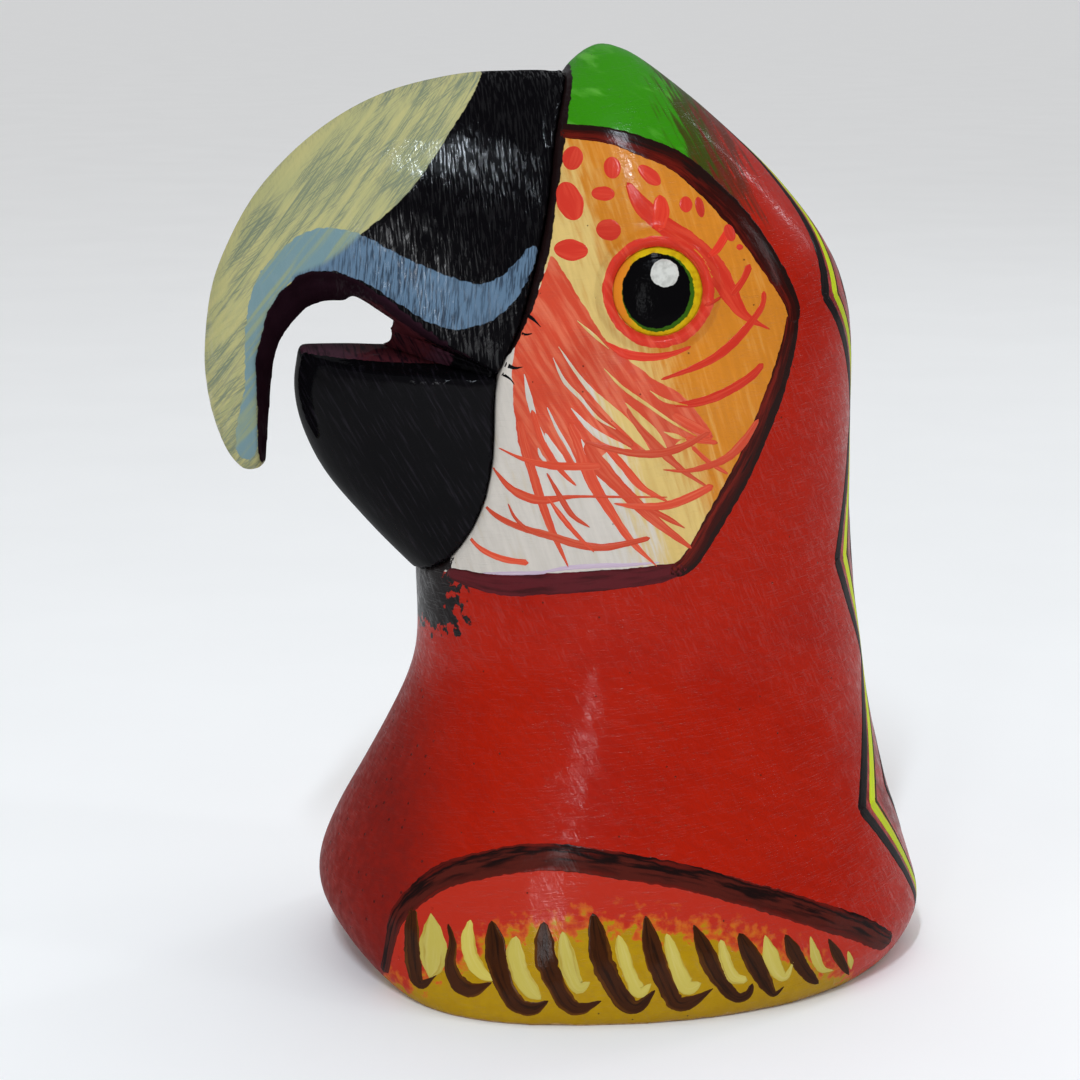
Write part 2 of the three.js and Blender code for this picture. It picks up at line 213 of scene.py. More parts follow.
class Shader:
    """A material whose pattern is built step by step from nodes."""

    def __init__(self, name, coat=0.25, coat_roughness=0.12, specular=0.0):
        self.material = bpy.data.materials.new(name)
        self.material.use_nodes = True
        self.tree = self.material.node_tree
        self.surface = self.tree.nodes["Principled BSDF"]
        self.surface.inputs["Coat Weight"].default_value = coat
        self.surface.inputs["Coat Roughness"].default_value = coat_roughness
        self.surface.inputs["Specular IOR Level"].default_value = specular
        self.place = self.tree.nodes.new("ShaderNodeTexCoord").outputs["Object"]

    def plug(self, socket, value):
        if isinstance(value, bpy.types.NodeSocket):
            self.tree.links.new(value, socket)
        else:
            socket.default_value = value

    def add(self, kind, *values, output=0, **settings):
        """A node with its settings, its first inputs given in order; None leaves one alone."""
        node = self.tree.nodes.new(kind)
        for key, value in settings.items():
            setattr(node, key, value)
        for socket, value in zip(node.inputs, values):
            if value is not None:
                self.plug(socket, value)
        return node.outputs[output]

    def attribute(self, name):
        return self.add("ShaderNodeAttribute", attribute_name=name, output=2)

    def maths(self, operation, *values):
        return self.add("ShaderNodeMath", *values, operation=operation)

    def ramp(self, value, start, end, low=0.0, high=1.0):
        """low below start and high above end, with a soft change between them."""
        node = self.tree.nodes.new("ShaderNodeMapRange")
        node.interpolation_type = "SMOOTHSTEP"
        for socket, entry in zip(node.inputs, (value, start, end, low, high)):
            self.plug(socket, entry)
        return node.outputs[0]

    def area(self, name, pattern, reach, low=None, start=0.2, end=0.8):
        """A stored field whose edge a pattern moves out by up to reach, and in by as much or by low."""
        shift = self.ramp(pattern, start, end, -reach if low is None else low, reach)
        return self.maths("ADD", self.attribute(name), shift)

    def mix(self, first, second, share):
        node = self.tree.nodes.new("ShaderNodeMix")
        node.data_type = "RGBA"
        self.plug(node.inputs[0], share)
        for socket, colour in ((node.inputs[6], first), (node.inputs[7], second)):
            self.plug(socket, linear(colour) if isinstance(colour, tuple) else colour)
        return node.outputs[2]

    def lay(self, under, paint, field, soft=0.05):
        """Paint laid over a colour wherever a field is more than 0."""
        return self.mix(under, paint, self.ramp(field, -soft, soft))

    def shade(self, colour, strength):
        """A colour made lighter or darker by a factor that varies over the surface."""
        node = self.tree.nodes.new("ShaderNodeVectorMath")
        node.operation = "SCALE"
        self.plug(node.inputs["Vector"], colour)
        self.plug(node.inputs["Scale"], strength)
        return node.outputs[0]

    def noise(self, size, detail=3.0, stretch=(1, 1, 1), turn=(0, 0, 0), offset=0.0):
        """Noise with grains of a size in mm, drawn out along its own turned axes."""
        mapping = self.tree.nodes.new("ShaderNodeMapping")
        mapping.vector_type = "TEXTURE"
        self.plug(mapping.inputs["Vector"], self.place)
        mapping.inputs["Location"].default_value = (offset, offset, offset)
        mapping.inputs["Rotation"].default_value = [math.radians(angle) for angle in turn]
        mapping.inputs["Scale"].default_value = [size * length * MM for length in stretch]
        return self.add("ShaderNodeTexNoise", mapping.outputs[0], None, 1.0, detail)

    def streaks(self, size, length, slope, offset=0.0):
        """Brush streaks of a width in mm, seen from the side; they run down to the rear by the slope."""
        return self.noise(size, 4.0, (length, length, 1), (0, slope, 0), offset)

    def specks(self, spacing, radius):
        """1 on small round specks, 0 elsewhere, one to each cell of the spacing."""
        mapping = self.add("ShaderNodeMapping", self.place, vector_type="TEXTURE")
        mapping.node.inputs["Scale"].default_value = (spacing * MM,) * 3
        distance = self.add("ShaderNodeTexVoronoi", mapping, None, 1.0)
        return self.ramp(distance, radius, radius * 0.5)

    def finish(self, colour, roughness, *heights, gloss=None):
        """Sets the colour, roughness and gloss, and piles up bumps: (height 0 to 1, depth in mm)."""
        self.plug(self.surface.inputs["Base Color"], colour)
        self.plug(self.surface.inputs["Roughness"], roughness)
        if gloss is not None:
            self.plug(self.surface.inputs["Coat Weight"], gloss)
        normal = None
        for height, depth in heights:
            node = self.tree.nodes.new("ShaderNodeBump")
            node.inputs["Distance"].default_value = depth * MM
            self.plug(node.inputs["Height"], height)
            if normal is not None:
                self.tree.links.new(normal, node.inputs["Normal"])
            normal = node.outputs[0]
        for name in ("Normal", "Coat Normal"):
            self.tree.links.new(normal, self.surface.inputs[name])
        return self.material


def varnish_heights(shader, slope=62, depth=0.014):
    """The carver's hollows, brush marks along a slope, and fine peel, which break up the gloss."""
    brush = shader.streaks(0.3, 14, slope)
    peel = shader.noise(0.8, 2.0)
    carved = shader.noise(8.0, 2.0)
    return (carved, 0.3), (brush, depth), (peel, 0.016)


def patch_colour(shader, cloud):
    """The face's ground: orange at the top and back, straw in the middle, chalk at the bottom."""
    streaks = shader.streaks(0.7, 9, 73)
    tone = shader.area("patch_tone", streaks, 0.16)
    patch = shader.mix(ORANGE, STRAW, shader.ramp(tone, 0.02, 0.5))
    patch = shader.mix(patch, CHALK, shader.ramp(tone, 0.6, 0.95))
    patch = shader.shade(patch, shader.ramp(streaks, 0.3, 0.7, 0.93, 1.03))
    return shader.shade(patch, shader.ramp(cloud, 0.3, 0.7, 0.94, 1.02))


def ground_material():
    """The face's ground again, for the gaps that show it through the wash."""
    shader = Shader("paint_ground", coat=0.3, coat_roughness=0.16)
    colour = patch_colour(shader, shader.noise(14, 3.0))
    return shader.finish(colour, 0.36, *varnish_heights(shader))


def neck_colour(shader, cloud, chest_shade_and_pitting, pits):
    """Cloudy red, brushed level, with painted shade that darkens it down the front of the chest, where it is
    also pitted.
    """
    fine = shader.streaks(0.8, 7, 28)
    red = shader.mix(DEEP_RED, RED, shader.ramp(cloud, 0.25, 0.6, 0.6, 1.0))
    red = shader.shade(red, shader.ramp(fine, 0.25, 0.75, 0.94, 1.05))
    red = shader.mix(red, CHEST_SHADE, chest_shade_and_pitting)
    return shader.mix(red, PIT, shader.maths("MULTIPLY", pits, 0.7))


def crest_over(shader, colour):
    """The green crest, brushed out at the back through moss and brown into the red."""
    crest = shader.area("crest", shader.streaks(0.5, 14, 64), 2.8, start=0.25, end=0.75)
    swirl = shader.streaks(2.2, 4, 24)
    green = shader.mix(GREEN, LIGHT_GREEN, shader.ramp(swirl, 0.52, 0.7))
    colour = shader.mix(colour, BROWN, shader.ramp(crest, -9, -4.5))
    colour = shader.mix(colour, MOSS, shader.ramp(crest, -3.5, 0))
    return shader.mix(colour, green, shader.ramp(crest, 0.4, 4))


def face_over(shader, colour, cloud, dabs, thin):
    """The face, with its coral wash and the red ring round each eye."""
    wash = shader.mix(CORAL, LIGHT_CORAL, shader.ramp(thin, 0.4, 0.68))
    wash = shader.shade(wash, shader.ramp(cloud, 0.35, 0.65, 0.9, 1.04))
    patch = shader.lay(patch_colour(shader, cloud), wash, shader.area("wash", dabs, 0.12))
    lid = shader.mix(SCARLET, LIGHT_SCARLET, shader.ramp(thin, 0.5, 0.8))
    patch = shader.lay(patch, lid, shader.area("lid", dabs, 0.15))
    return shader.lay(colour, patch, shader.attribute("patch"))


def bib_over(shader, colour, dabs):
    """The bib, dabbed from red at the top through orange to yellow."""
    tone = shader.area("bib_tone", dabs, 0.4, start=0.25, end=0.75)
    bib = shader.mix(BIB_RED, BIB_ORANGE, shader.ramp(tone, 0.2, 0.72))
    yellow = shader.mix(YELLOW, OCHRE, dabs)
    bib = shader.mix(bib, yellow, shader.ramp(tone, 0.6, 0.85))
    return shader.lay(colour, bib, shader.attribute("bib"))


def head_material():
    """Every ground of paint on the head, with pores, pits and scratches, painted shade down the chest, and
    bare wood inside.
    """
    shader = Shader("painted_head", coat_roughness=0.1, specular=0.04)
    cloud = shader.noise(14, 3.0)
    dabs = shader.noise(1.5, 3.0)
    thin = shader.streaks(0.9, 9, 58)
    # Painted shade down the front of the chest, where the paint is also rougher, duller and pitted.
    chest_shade_and_pitting = shader.maths("MULTIPLY", shader.attribute("chest_shade_and_pitting"), shader.ramp(dabs, 0.25, 0.7, 0.75, 1.0))
    pits = shader.maths("MULTIPLY", shader.specks(2.1, 0.14), shader.ramp(chest_shade_and_pitting, 0.1, 0.5))

    colour = neck_colour(shader, cloud, chest_shade_and_pitting, pits)
    colour = crest_over(shader, colour)
    colour = face_over(shader, colour, cloud, dabs, thin)
    colour = bib_over(shader, colour, dabs)
    panel = shader.mix(PANEL_RED, PANEL_PINK, shader.ramp(thin, 0.3, 0.7))
    colour = shader.lay(colour, panel, shader.attribute("panel"))
    colour = shader.lay(colour, SEAM, shader.area("seam", dabs, 0.2, low=-0.12))
    soot = shader.area("chin", dabs, 2.2, start=0.25, end=0.75)
    colour = shader.mix(colour, SOOT, shader.ramp(soot, -0.2, 0.4))
    pores = shader.specks(3.1, 0.055)
    colour = shader.mix(colour, PORE, shader.maths("MULTIPLY", pores, 0.75))
    bare = shader.attribute("bare")
    wood = shader.mix(WOOD_DARK, WOOD, shader.ramp(shader.streaks(0.7, 16, 90), 0.3, 0.65))
    colour = shader.mix(colour, wood, bare)

    roughness = shader.ramp(dabs, 0.2, 0.8, 0.3, 0.42)
    roughness = shader.maths("ADD", roughness, shader.maths("MULTIPLY", chest_shade_and_pitting, 0.25))
    roughness = shader.maths("MAXIMUM", roughness, shader.maths("MULTIPLY", bare, 0.75))
    scratches = shader.ramp(shader.streaks(0.16, 22, -7), 0.54, 0.66)
    ridges = shader.ramp(shader.streaks(0.22, 12, 66, offset=0.4), 0.5, 0.66)
    ridges = shader.maths("MAXIMUM", scratches, ridges)
    dulled = shader.ramp(chest_shade_and_pitting, 0.0, 0.8, 1.0, 0.3)
    gloss = shader.maths("MULTIPLY", shader.ramp(ridges, 0.0, 1.0, 0.08, 0.4), dulled)
    heights = (*varnish_heights(shader), (pores, -0.08), (scratches, -0.015), (pits, -0.12))
    return shader.finish(colour, roughness, *heights, gloss=gloss)


def olive_colour(shader, cloud, broad, lines):
    """Olive brushed thin, so that slate shows between the bristle marks where it is most worn."""
    worn = shader.maths(
        "ADD", shader.ramp(broad, 0.4, 0.62, 0.2, 0.75), shader.ramp(cloud, 0.35, 0.65, -0.2, 0.3)
    )
    worn = shader.maths("ADD", worn, shader.ramp(shader.attribute("olive"), 8.0, 13.0, 0.12, -0.3))
    olive = shader.mix(OLIVE, LIGHT_OLIVE, shader.ramp(broad, 0.3, 0.55, 1.0, 0.0))
    olive = shader.mix(olive, SLATE, shader.maths("MULTIPLY", lines, shader.ramp(worn, 0.0, 1.1, 0.0, 0.85)))
    return shader.mix(olive, WORN_OLIVE, shader.ramp(worn, 0.4, 1.1, 0.0, 0.4))


def stripe_colour(shader, cloud, broad):
    """The blue stripe: hatched thinly over the black, and greener over the olive."""
    cross = shader.streaks(0.26, 10, -84, offset=0.3)
    hatch = shader.maths("MULTIPLY", shader.ramp(cross, 0.44, 0.62), shader.ramp(cloud, 0.25, 0.55, 0.5, 1.0))
    over_black = shader.mix(BLUE, DARK_BLUE, shader.maths("MULTIPLY", hatch, 0.85))
    over_olive = shader.mix(SKY, SKY_OLIVE, shader.ramp(broad, 0.45, 0.65))
    return shader.lay(over_black, over_olive, shader.attribute("olive"), 0.5)


def upper_beak_material():
    """Black with the olive hook and the blue stripe, and mulberry inside the mouth."""
    shader = Shader("painted_upper_beak", coat_roughness=0.07)
    cloud = shader.noise(9, 3.0)
    dabs = shader.noise(1.2, 3.0)
    broad = shader.streaks(0.9, 16, -52)
    steep = shader.streaks(0.17, 60, -54)
    level = shader.streaks(0.15, 50, -36, offset=0.2)
    lines = shader.maths("MAXIMUM", shader.ramp(steep, 0.46, 0.6), shader.ramp(level, 0.49, 0.63))

    black = shader.mix(BLACK, WORN_BLACK, shader.ramp(steep, 0.6, 0.8))
    olive = olive_colour(shader, cloud, broad, lines)
    colour = shader.lay(black, olive, shader.area("olive", dabs, 0.1), 0.06)
    blue = stripe_colour(shader, cloud, broad)
    colour = shader.lay(colour, blue, shader.area("stripe", dabs, 0.2), 0.06)
    inner = shader.area("inner", dabs, 0.1)
    mouth = shader.mix(MAROON, MULBERRY, shader.ramp(shader.area("rear", dabs, 0.3), 0.35, 0.9))
    mouth = shader.shade(mouth, shader.ramp(cloud, 0.3, 0.7, 0.6, 1.15))
    colour = shader.mix(colour, mouth, shader.ramp(inner, 0.4, 0.5))

    roughness = shader.ramp(dabs, 0.2, 0.8, 0.22, 0.4)
    glints = shader.ramp(shader.streaks(0.28, 9, 86, offset=0.6), 0.48, 0.64, 0.03, 0.6)
    gloss = shader.maths("MULTIPLY", glints, shader.ramp(inner, 0.3, 0.5, 1.0, 0.06))
    heights = (*varnish_heights(shader, 84, 0.017), (lines, -0.006))
    return shader.finish(colour, roughness, *heights, gloss=gloss)


def lower_beak_material():
    """Black in drawn-out strokes, and rose and maroon on the floor of the mouth."""
    shader = Shader("painted_lower_beak", coat=0.12, coat_roughness=0.07)
    dabs = shader.noise(1.3, 3.0)
    drawn = shader.streaks(0.4, 12, 60)
    black = shader.mix(BLACK, GREY_BLACK, shader.ramp(drawn, 0.5, 0.8))
    mouth = shader.mix(ROSE, MULBERRY, shader.ramp(shader.area("rear", dabs, 0.3), 0.2, 0.8))
    mouth = shader.mix(mouth, MAROON, shader.ramp(drawn, 0.45, 0.7))
    colour = shader.mix(black, mouth, shader.ramp(shader.area("inner", dabs, 0.12), 0.5, 0.62))
    roughness = shader.ramp(dabs, 0.2, 0.8, 0.2, 0.34)
    return shader.finish(colour, roughness, *varnish_heights(shader, 60, 0.018), (drawn, 0.008))


def film_material(name, main, second, share=0.6, across=None, edge=None):
    """Brushed paint: two colours in streaks, a third to one side, and thin paint at the edges."""
    shader = Shader("paint_" + name, coat=0.18, coat_roughness=0.15)
    along = shader.maths("MULTIPLY", shader.attribute("along"), 0.16)
    over = shader.maths("MULTIPLY", shader.attribute("across"), 2.6)
    deal = shader.maths("MULTIPLY", shader.attribute("tint"), 40.0)
    vector = shader.add("ShaderNodeCombineXYZ", along, over, deal)
    streaks = shader.add("ShaderNodeTexNoise", vector, None, 1.0, 4.0)
    colour = shader.mix(main, second, shader.ramp(streaks, 0.42, 0.7, 0.0, share))
    if across is not None:
        colour = shader.mix(colour, across, shader.ramp(shader.area("across", streaks, 0.6), 0.0, 0.5))
    if edge is not None:
        rim = shader.maths("ABSOLUTE", shader.attribute("across"))
        rim = shader.maths("ADD", rim, shader.ramp(streaks, 0.2, 0.8, -0.5, 0.5))
        colour = shader.mix(colour, edge, shader.ramp(rim, 0.55, 1.15, 0.0, 0.8))
    colour = shader.shade(colour, shader.ramp(shader.attribute("tint"), 0.0, 1.0, 0.88, 1.1))
    roughness = shader.ramp(streaks, 0.3, 0.7, 0.28, 0.44)
    return shader.finish(colour, roughness, *varnish_heights(shader), (streaks, 0.02))


def eye_material():
    """Yellow turning orange towards the beak, a green ring, the black pupil and its white dot."""
    shader = Shader("painted_eye", coat=0.03, coat_roughness=0.08)
    dabs = shader.noise(1.0, 3.0)
    yellow = shader.mix(EYE_YELLOW, EYE_OCHRE, shader.ramp(dabs, 0.4, 0.7))
    colour = shader.mix(EYE_ORANGE, yellow, shader.ramp(shader.area("side", dabs, 0.1), -0.75, -0.4))
    colour = shader.lay(colour, EYE_GREEN, shader.area("green", dabs, 0.12), 0.06)
    colour = shader.lay(colour, PUPIL, shader.area("pupil", dabs, 0.12))
    white = shader.mix(DOT_WHITE, DOT_GREY, shader.ramp(dabs, 0.4, 0.7))
    colour = shader.lay(colour, white, shader.area("glint", dabs, 0.12), 0.04)
    scuff = shader.streaks(0.3, 10, 15)
    return shader.finish(colour, shader.ramp(scuff, 0.3, 0.8, 0.22, 0.4), (dabs, 0.06), (scuff, 0.015))


def wood_material(name, light, dark, turn):
    """Raw wood: growth rings cut across, fine fibres and open pores."""
    shader = Shader(name, coat=0.0, coat_roughness=0.35, specular=0.3)
    fibres = shader.noise(0.35, 4.0, (22, 1, 1), turn)
    bands = shader.noise(2.6, 3.0, (8, 1, 1), turn)
    pores = shader.ramp(shader.noise(0.16, 2.0, (14, 1, 1), turn, offset=0.1), 0.62, 0.72)
    colour = shader.mix(dark, light, shader.ramp(bands, 0.36, 0.62))
    colour = shader.shade(colour, shader.ramp(fibres, 0.3, 0.7, 0.86, 1.06))
    colour = shader.mix(colour, dark, shader.maths("MULTIPLY", pores, 0.6))
    return shader.finish(colour, shader.ramp(fibres, 0.3, 0.7, 0.62, 0.8), (fibres, 0.05), (pores, -0.06))


def seed_material():
    """A hard seed coat, mottled and finely wrinkled."""
    shader = Shader("seed_coat", coat=0.35, coat_roughness=0.25)
    mottle = shader.noise(1.4, 4.0)
    wrinkles = shader.noise(0.35, 3.0)
    colour = shader.mix(SEED_DARK, SEED_BROWN, shader.ramp(mottle, 0.42, 0.68))
    roughness = shader.ramp(mottle, 0.3, 0.7, 0.35, 0.5)
    return shader.finish(colour, roughness, (mottle, 0.12), (wrinkles, 0.05))


def floor_material():
    shader = Shader("pale_floor", coat=0.0)
    haze = shader.noise(60, 3.0)
    colour = shader.mix((243, 243, 242), (248, 248, 247), haze)
    return shader.finish(colour, shader.ramp(haze, 0.3, 0.7, 0.6, 0.7), (haze, 0.05))


# ---------------------------------------------------------------- meshes


def link(name, mesh, material):
    piece = bpy.data.objects.new(name, mesh)
    bpy.context.scene.collection.objects.link(piece)
    mesh.materials.clear()
    mesh.materials.append(material)
    mesh.polygons.foreach_set("use_smooth", [True] * len(mesh.polygons))
    return piece


def add_piece(name, mesh, material, body=BODY, node=None):
    """A finished piece on its body, in place of its CAD node if it has one."""
    piece = link(name, mesh, material)
    if node:
        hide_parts(node)
    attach(piece, body)


def mesh_from(name, points, faces):
    """A closed mesh with its faces turned outwards."""
    mesh = bpy.data.meshes.new(name)
    mesh.from_pydata(points, [], faces)
    shape = bmesh.new()
    shape.from_mesh(mesh)
    bmesh.ops.recalc_face_normals(shape, faces=shape.faces)
    shape.to_mesh(mesh)
    shape.free()
    return mesh


def ring_faces(rings, around, start=0, loop=False):
    """Faces that join one ring of corners to the next: in a loop, or with a cap at both ends."""
    faces = []
    for ring in range(rings if loop else rings - 1):
        here = start + ring * around
        there = start + (ring + 1) % rings * around
        for corner in range(around):
            following = (corner + 1) % around
            faces.append((here + corner, here + following, there + following, there + corner))
    if not loop:
        faces += [tuple(range(start, start + around)), tuple(range(there, there + around))]
    return faces


def ring_mesh(name, rings, loop=False):
    """A closed mesh through rings of places in mm."""
    points = [tuple(np.array(place) * MM) for ring in rings for place in ring]
    return mesh_from(name, points, ring_faces(len(rings), len(rings[0]), loop=loop))


def places(mesh):
    """The corners of a mesh in mm, one row each."""
    flat = np.empty(len(mesh.vertices) * 3)
    mesh.vertices.foreach_get("co", flat)
    return flat.reshape(-1, 3) / MM


def normals(mesh):
    flat = np.empty(len(mesh.vertices) * 3)
    mesh.vertices.foreach_get("normal", flat)
    return flat.reshape(-1, 3)


def move_to(mesh, points):
    mesh.vertices.foreach_set("co", (points * MM).ravel())
    mesh.update()


def give(mesh, **fields):
    """Stores one number for each corner of the mesh, for its material to read."""
    for name, values in fields.items():
        layer = mesh.attributes.new(name, "FLOAT", "POINT")
        layer.data.foreach_set("value", np.asarray(values, dtype=np.float32))


def box_of(node):
    """The lowest and highest corner of a CAD node, in mm."""
    return [np.array(corner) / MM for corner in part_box(node)]


def fine_copy(node, grain, passes, swell):
    """A CAD node's mesh, rounded over its facets and remade of small even faces."""
    mesh = frame["nodes"][node].data.copy()
    shape = bmesh.new()
    shape.from_mesh(mesh)
    bmesh.ops.remove_doubles(shape, verts=shape.verts, dist=WELD)
    bmesh.ops.join_triangles(
        shape, faces=shape.faces, angle_face_threshold=JOIN_ANGLE, angle_shape_threshold=JOIN_SKEW
    )
    crease = shape.edges.layers.float.new("crease_edge")
    for edge in shape.edges:
        if len(edge.link_faces) == 2 and edge.calc_face_angle() > CREASE_ANGLE:
            edge[crease] = 1.0
    shape.to_mesh(mesh)
    shape.free()
    piece = bpy.data.objects.new("rough_" + node, mesh)
    bpy.context.scene.collection.objects.link(piece)
    rounding = piece.modifiers.new("rounding", "SUBSURF")
    rounding.levels = 2
    even = piece.modifiers.new("even", "REMESH")
    even.mode = "VOXEL"
    even.voxel_size = grain * MM
    soften = piece.modifiers.new("soften", "SMOOTH")
    soften.iterations = passes
    fine = bpy.data.meshes.new_from_object(piece.evaluated_get(bpy.context.evaluated_depsgraph_get()))
    bpy.data.objects.remove(piece)
    move_to(fine, np.clip(places(fine) + normals(fine) * swell, *box_of(node)))
    return fine


def carve(mesh):
    """Shallow hollows and lumps left by the carver's knife, none of them below the flat base."""
    points = places(mesh)
    lumps = np.array([noise.noise(Vector(point) / LUMP_SIZE) for point in points])
    points += normals(mesh) * (lumps * LUMP_DEPTH)[:, None]
    points[:, 2] = np.maximum(points[:, 2], 0)
    move_to(mesh, points)


# ---------------------------------------------------------------- lines and areas in the flat


def smooth_line(rows, step):
    """A smooth line through rows of numbers, of which the first two are a place."""
    rows = np.array(rows, dtype=float)
    knots = np.vstack([2 * rows[0] - rows[1], rows, 2 * rows[-1] - rows[-2]])
    made = []
    for before, start, end, after in zip(knots, knots[1:], knots[2:], knots[3:]):
        count = max(2, math.ceil(np.hypot(*(end - start)[:2]) / step))
        share = (np.arange(count) / count)[:, None]
        made.append(0.5 * (
            2 * start
            + (end - before) * share
            + (2 * before - 5 * start + 4 * end - after) * share**2
            + (3 * start - before - 3 * end + after) * share**3
        ))
    return np.vstack([*made, rows[-1:]])


def line_distance(flat, line):
    """How far each point of the plane is from a line of straight steps."""
    nearest = np.full(len(flat), np.inf)
    for start, end in zip(line, line[1:]):
        step = end - start
        share = np.clip(((flat - start) @ step) / max(step @ step, 1e-12), 0, 1)
        nearest = np.minimum(nearest, np.hypot(*(flat - start - share[:, None] * step).T))
    return nearest


def depth_inside(flat, outline):
    """The distance from a closed outline, more than 0 inside it."""
    closed = np.vstack([outline, outline[:1]])
    inside = np.zeros(len(flat), dtype=bool)
    for (ax, az), (bx, bz) in zip(closed, closed[1:]):
        spans = (az > flat[:, 1]) != (bz > flat[:, 1])
        with np.errstate(divide="ignore", invalid="ignore"):
            crossing = ax + (flat[:, 1] - az) * (bx - ax) / (bz - az)
        inside ^= spans & (flat[:, 0] < crossing)
    distance = line_distance(flat, closed)
    return np.where(inside, distance, -distance)


# ---------------------------------------------------------------- the painter's plan, in mm

# Where the beak meets the face, and the dark line round the face in three strokes: x, z, width.
BEAK_LINE = [
    (-8.8, 135), (-10.2, 128), (-11.8, 118.5), (-13.1, 110), (-15.8, 101.5), (-17.9, 97), (-21, 92.5),
    (-21.8, 84), (-23.2, 76.5), (-24.8, 73), (-27, 67), (-28.8, 61.5),
]
FACE_TOP = [
    (-11.5, 127, 2.2), (-5, 126.5, 2.4), (0, 125, 2.9), (6, 122.2, 3.2),
    (13.5, 115, 3.7), (18.5, 108, 3.4), (21.3, 103, 2.6), (21.8, 100, 2.2),
]
FACE_BACK = [
    (21.6, 101.5, 2.2), (20.8, 97, 2.7), (18.4, 89.5, 3.2), (14.6, 80.5, 3.3), (10.5, 73, 3.2),
    (6.5, 66.3, 2.8), (3.6, 64.3, 2.2),
]
FACE_FOOT = [
    (6, 65.2, 2), (1, 64.1, 3), (-6.5, 63.2, 3.3), (-14, 62.3, 3.4), (-21, 61.5, 3.3), (-28, 61.9, 1.9),
]

# The coral wash that runs down from the corner of the beak.
WASH = [
    (-13, 109.5), (-12, 108.5), (-10, 105), (-8.5, 102.5), (-7, 100), (-5.2, 97.4), (-2.6, 95.4),
    (0.8, 92.8), (4, 91), (6.5, 88.8), (9, 85.4), (9.2, 83.6), (5, 84), (2.4, 81.6), (-2.4, 82.2),
    (-5, 82.4), (-7.4, 80.6), (-9.4, 79.8), (-13, 79.6), (-16.6, 79.8), (-17.8, 82), (-18.3, 86),
    (-18.6, 90), (-18.5, 95), (-16.6, 101), (-14.6, 105),
]

# Where the ground shows through the wash, between one brush mark and the next: x, z, width.
GAPS = [
    [(-17, 92.6, 0.1), (-16.4, 89.4, 0.9), (-15.5, 86, 0.7), (-14.6, 84, 0.6), (-14.1, 82.8, 0.2)],
    [(-14.2, 84.4, 0.4), (-13.7, 83.2, 0.9), (-12.5, 81.4, 1.1), (-11.5, 79.8, 1.2)],
    [(-13.9, 88.1, 0.2), (-12.5, 85, 0.5), (-11.1, 82.6, 0.5), (-9.9, 80.2, 0.3)],
    [(-15.2, 82.2, 0.2), (-14.8, 81, 0.6), (-14, 80.2, 0.5)],
    [(-9.2, 83.8, 0.2), (-8.4, 82, 0.8), (-7.4, 80.4, 0.9), (-6.8, 79.6, 0.6)],
    [(-13, 95.2, 0.1), (-11.5, 92, 0.6), (-9.2, 89.6, 0.6), (-7, 87, 0.5), (-4.4, 85.4, 0.1)],
    [(-12.2, 96.8, 0.1), (-10, 93.5, 0.5), (-8, 91, 0.8), (-5.4, 88.4, 1.5), (-2.8, 85.9, 1.8),
     (-0.8, 83.6, 1.2), (0.6, 82, 0.2)],
    [(-10.6, 88.2, 0.1), (-8.2, 85.6, 0.9), (-6, 84, 1.2), (-3.6, 83, 0.9), (-2, 82.4, 0.2)],
    [(-9.6, 100.6, 0.1), (-7.5, 98.8, 0.5), (-5.3, 96.8, 0.1)],
    [(-6, 94, 0.1), (-3.4, 91.4, 0.5), (0, 89, 0.5), (3.6, 86.5, 0.4), (7.2, 84.4, 0.1)],
    [(-3, 89.2, 0.1), (-1, 87, 1), (1.2, 84.8, 1.1), (2.9, 82.6, 0.2)],
    [(0.4, 91, 0.1), (2.6, 89.6, 0.6), (5.8, 88.9, 0.1)],
    [(2.4, 85.1, 0.1), (4, 84.5, 0.7), (5.6, 84, 0.2)],
]

# Round spots over the eye: x, z, half length, half width, turn in degrees from level.
SPOTS = [
    (-9.6, 123.2, 1.7, 1.5, 70), (-4.2, 122, 1.5, 1.3, 90), (1, 121, 1.9, 1.1, -40),
    (-10.2, 117.2, 2.7, 2, 105), (-5.6, 118.4, 1.6, 1.1, 0), (6, 117, 1.1, 1, 90),
    (8, 116.6, 1.4, 0.7, 100), (-5, 113.4, 1.7, 1.6, 0), (-10.2, 110.4, 2.3, 1.6, 0),
    (12.2, 113, 1.2, 0.9, 110), (13.6, 111, 0.5, 0.4, 0),
]

# Red strokes round the eye: x, z, width.
EYE_STROKES = [
    [(-2.2, 120, 0.8), (-0.4, 117, 2.6), (2.6, 114.2, 2.9), (6.6, 111.5, 3.2), (9.8, 108, 3.6),
     (11.8, 104.8, 3), (14, 101.6, 1.5), (17.8, 99.4, 0.2)],
    [(2.3, 118.3, 1.6), (2.4, 116, 2.6), (1.8, 113.4, 2.2)],
    [(-5.8, 97.8, 0.3), (-3, 96.2, 1.4), (0.5, 95.8, 1.3), (3.5, 96.3, 0.9), (6.2, 97.3, 0.5)],
    [(12.2, 113.6, 1.3), (10.2, 110.8, 1.2), (8.8, 109.8, 0.7)],
    [(15, 108.6, 1.1), (14, 106.6, 1.1), (12.2, 104.4, 1.1)],
    [(17, 104.8, 0.8), (16.8, 103, 0.9), (15.4, 101, 1.1), (12.6, 98, 1.4), (9.8, 95.8, 1.3),
     (6.5, 94.2, 0.9), (2, 92.6, 0.4)],
    [(16.8, 94.6, 0.9), (15.2, 93, 1.3), (12.6, 91.4, 1.4), (9.6, 90, 1.4), (6.6, 89.2, 1.2),
     (3.8, 89, 0.6)],
    [(8, 103.2, 0.6), (10.6, 104.2, 0.5)],
]

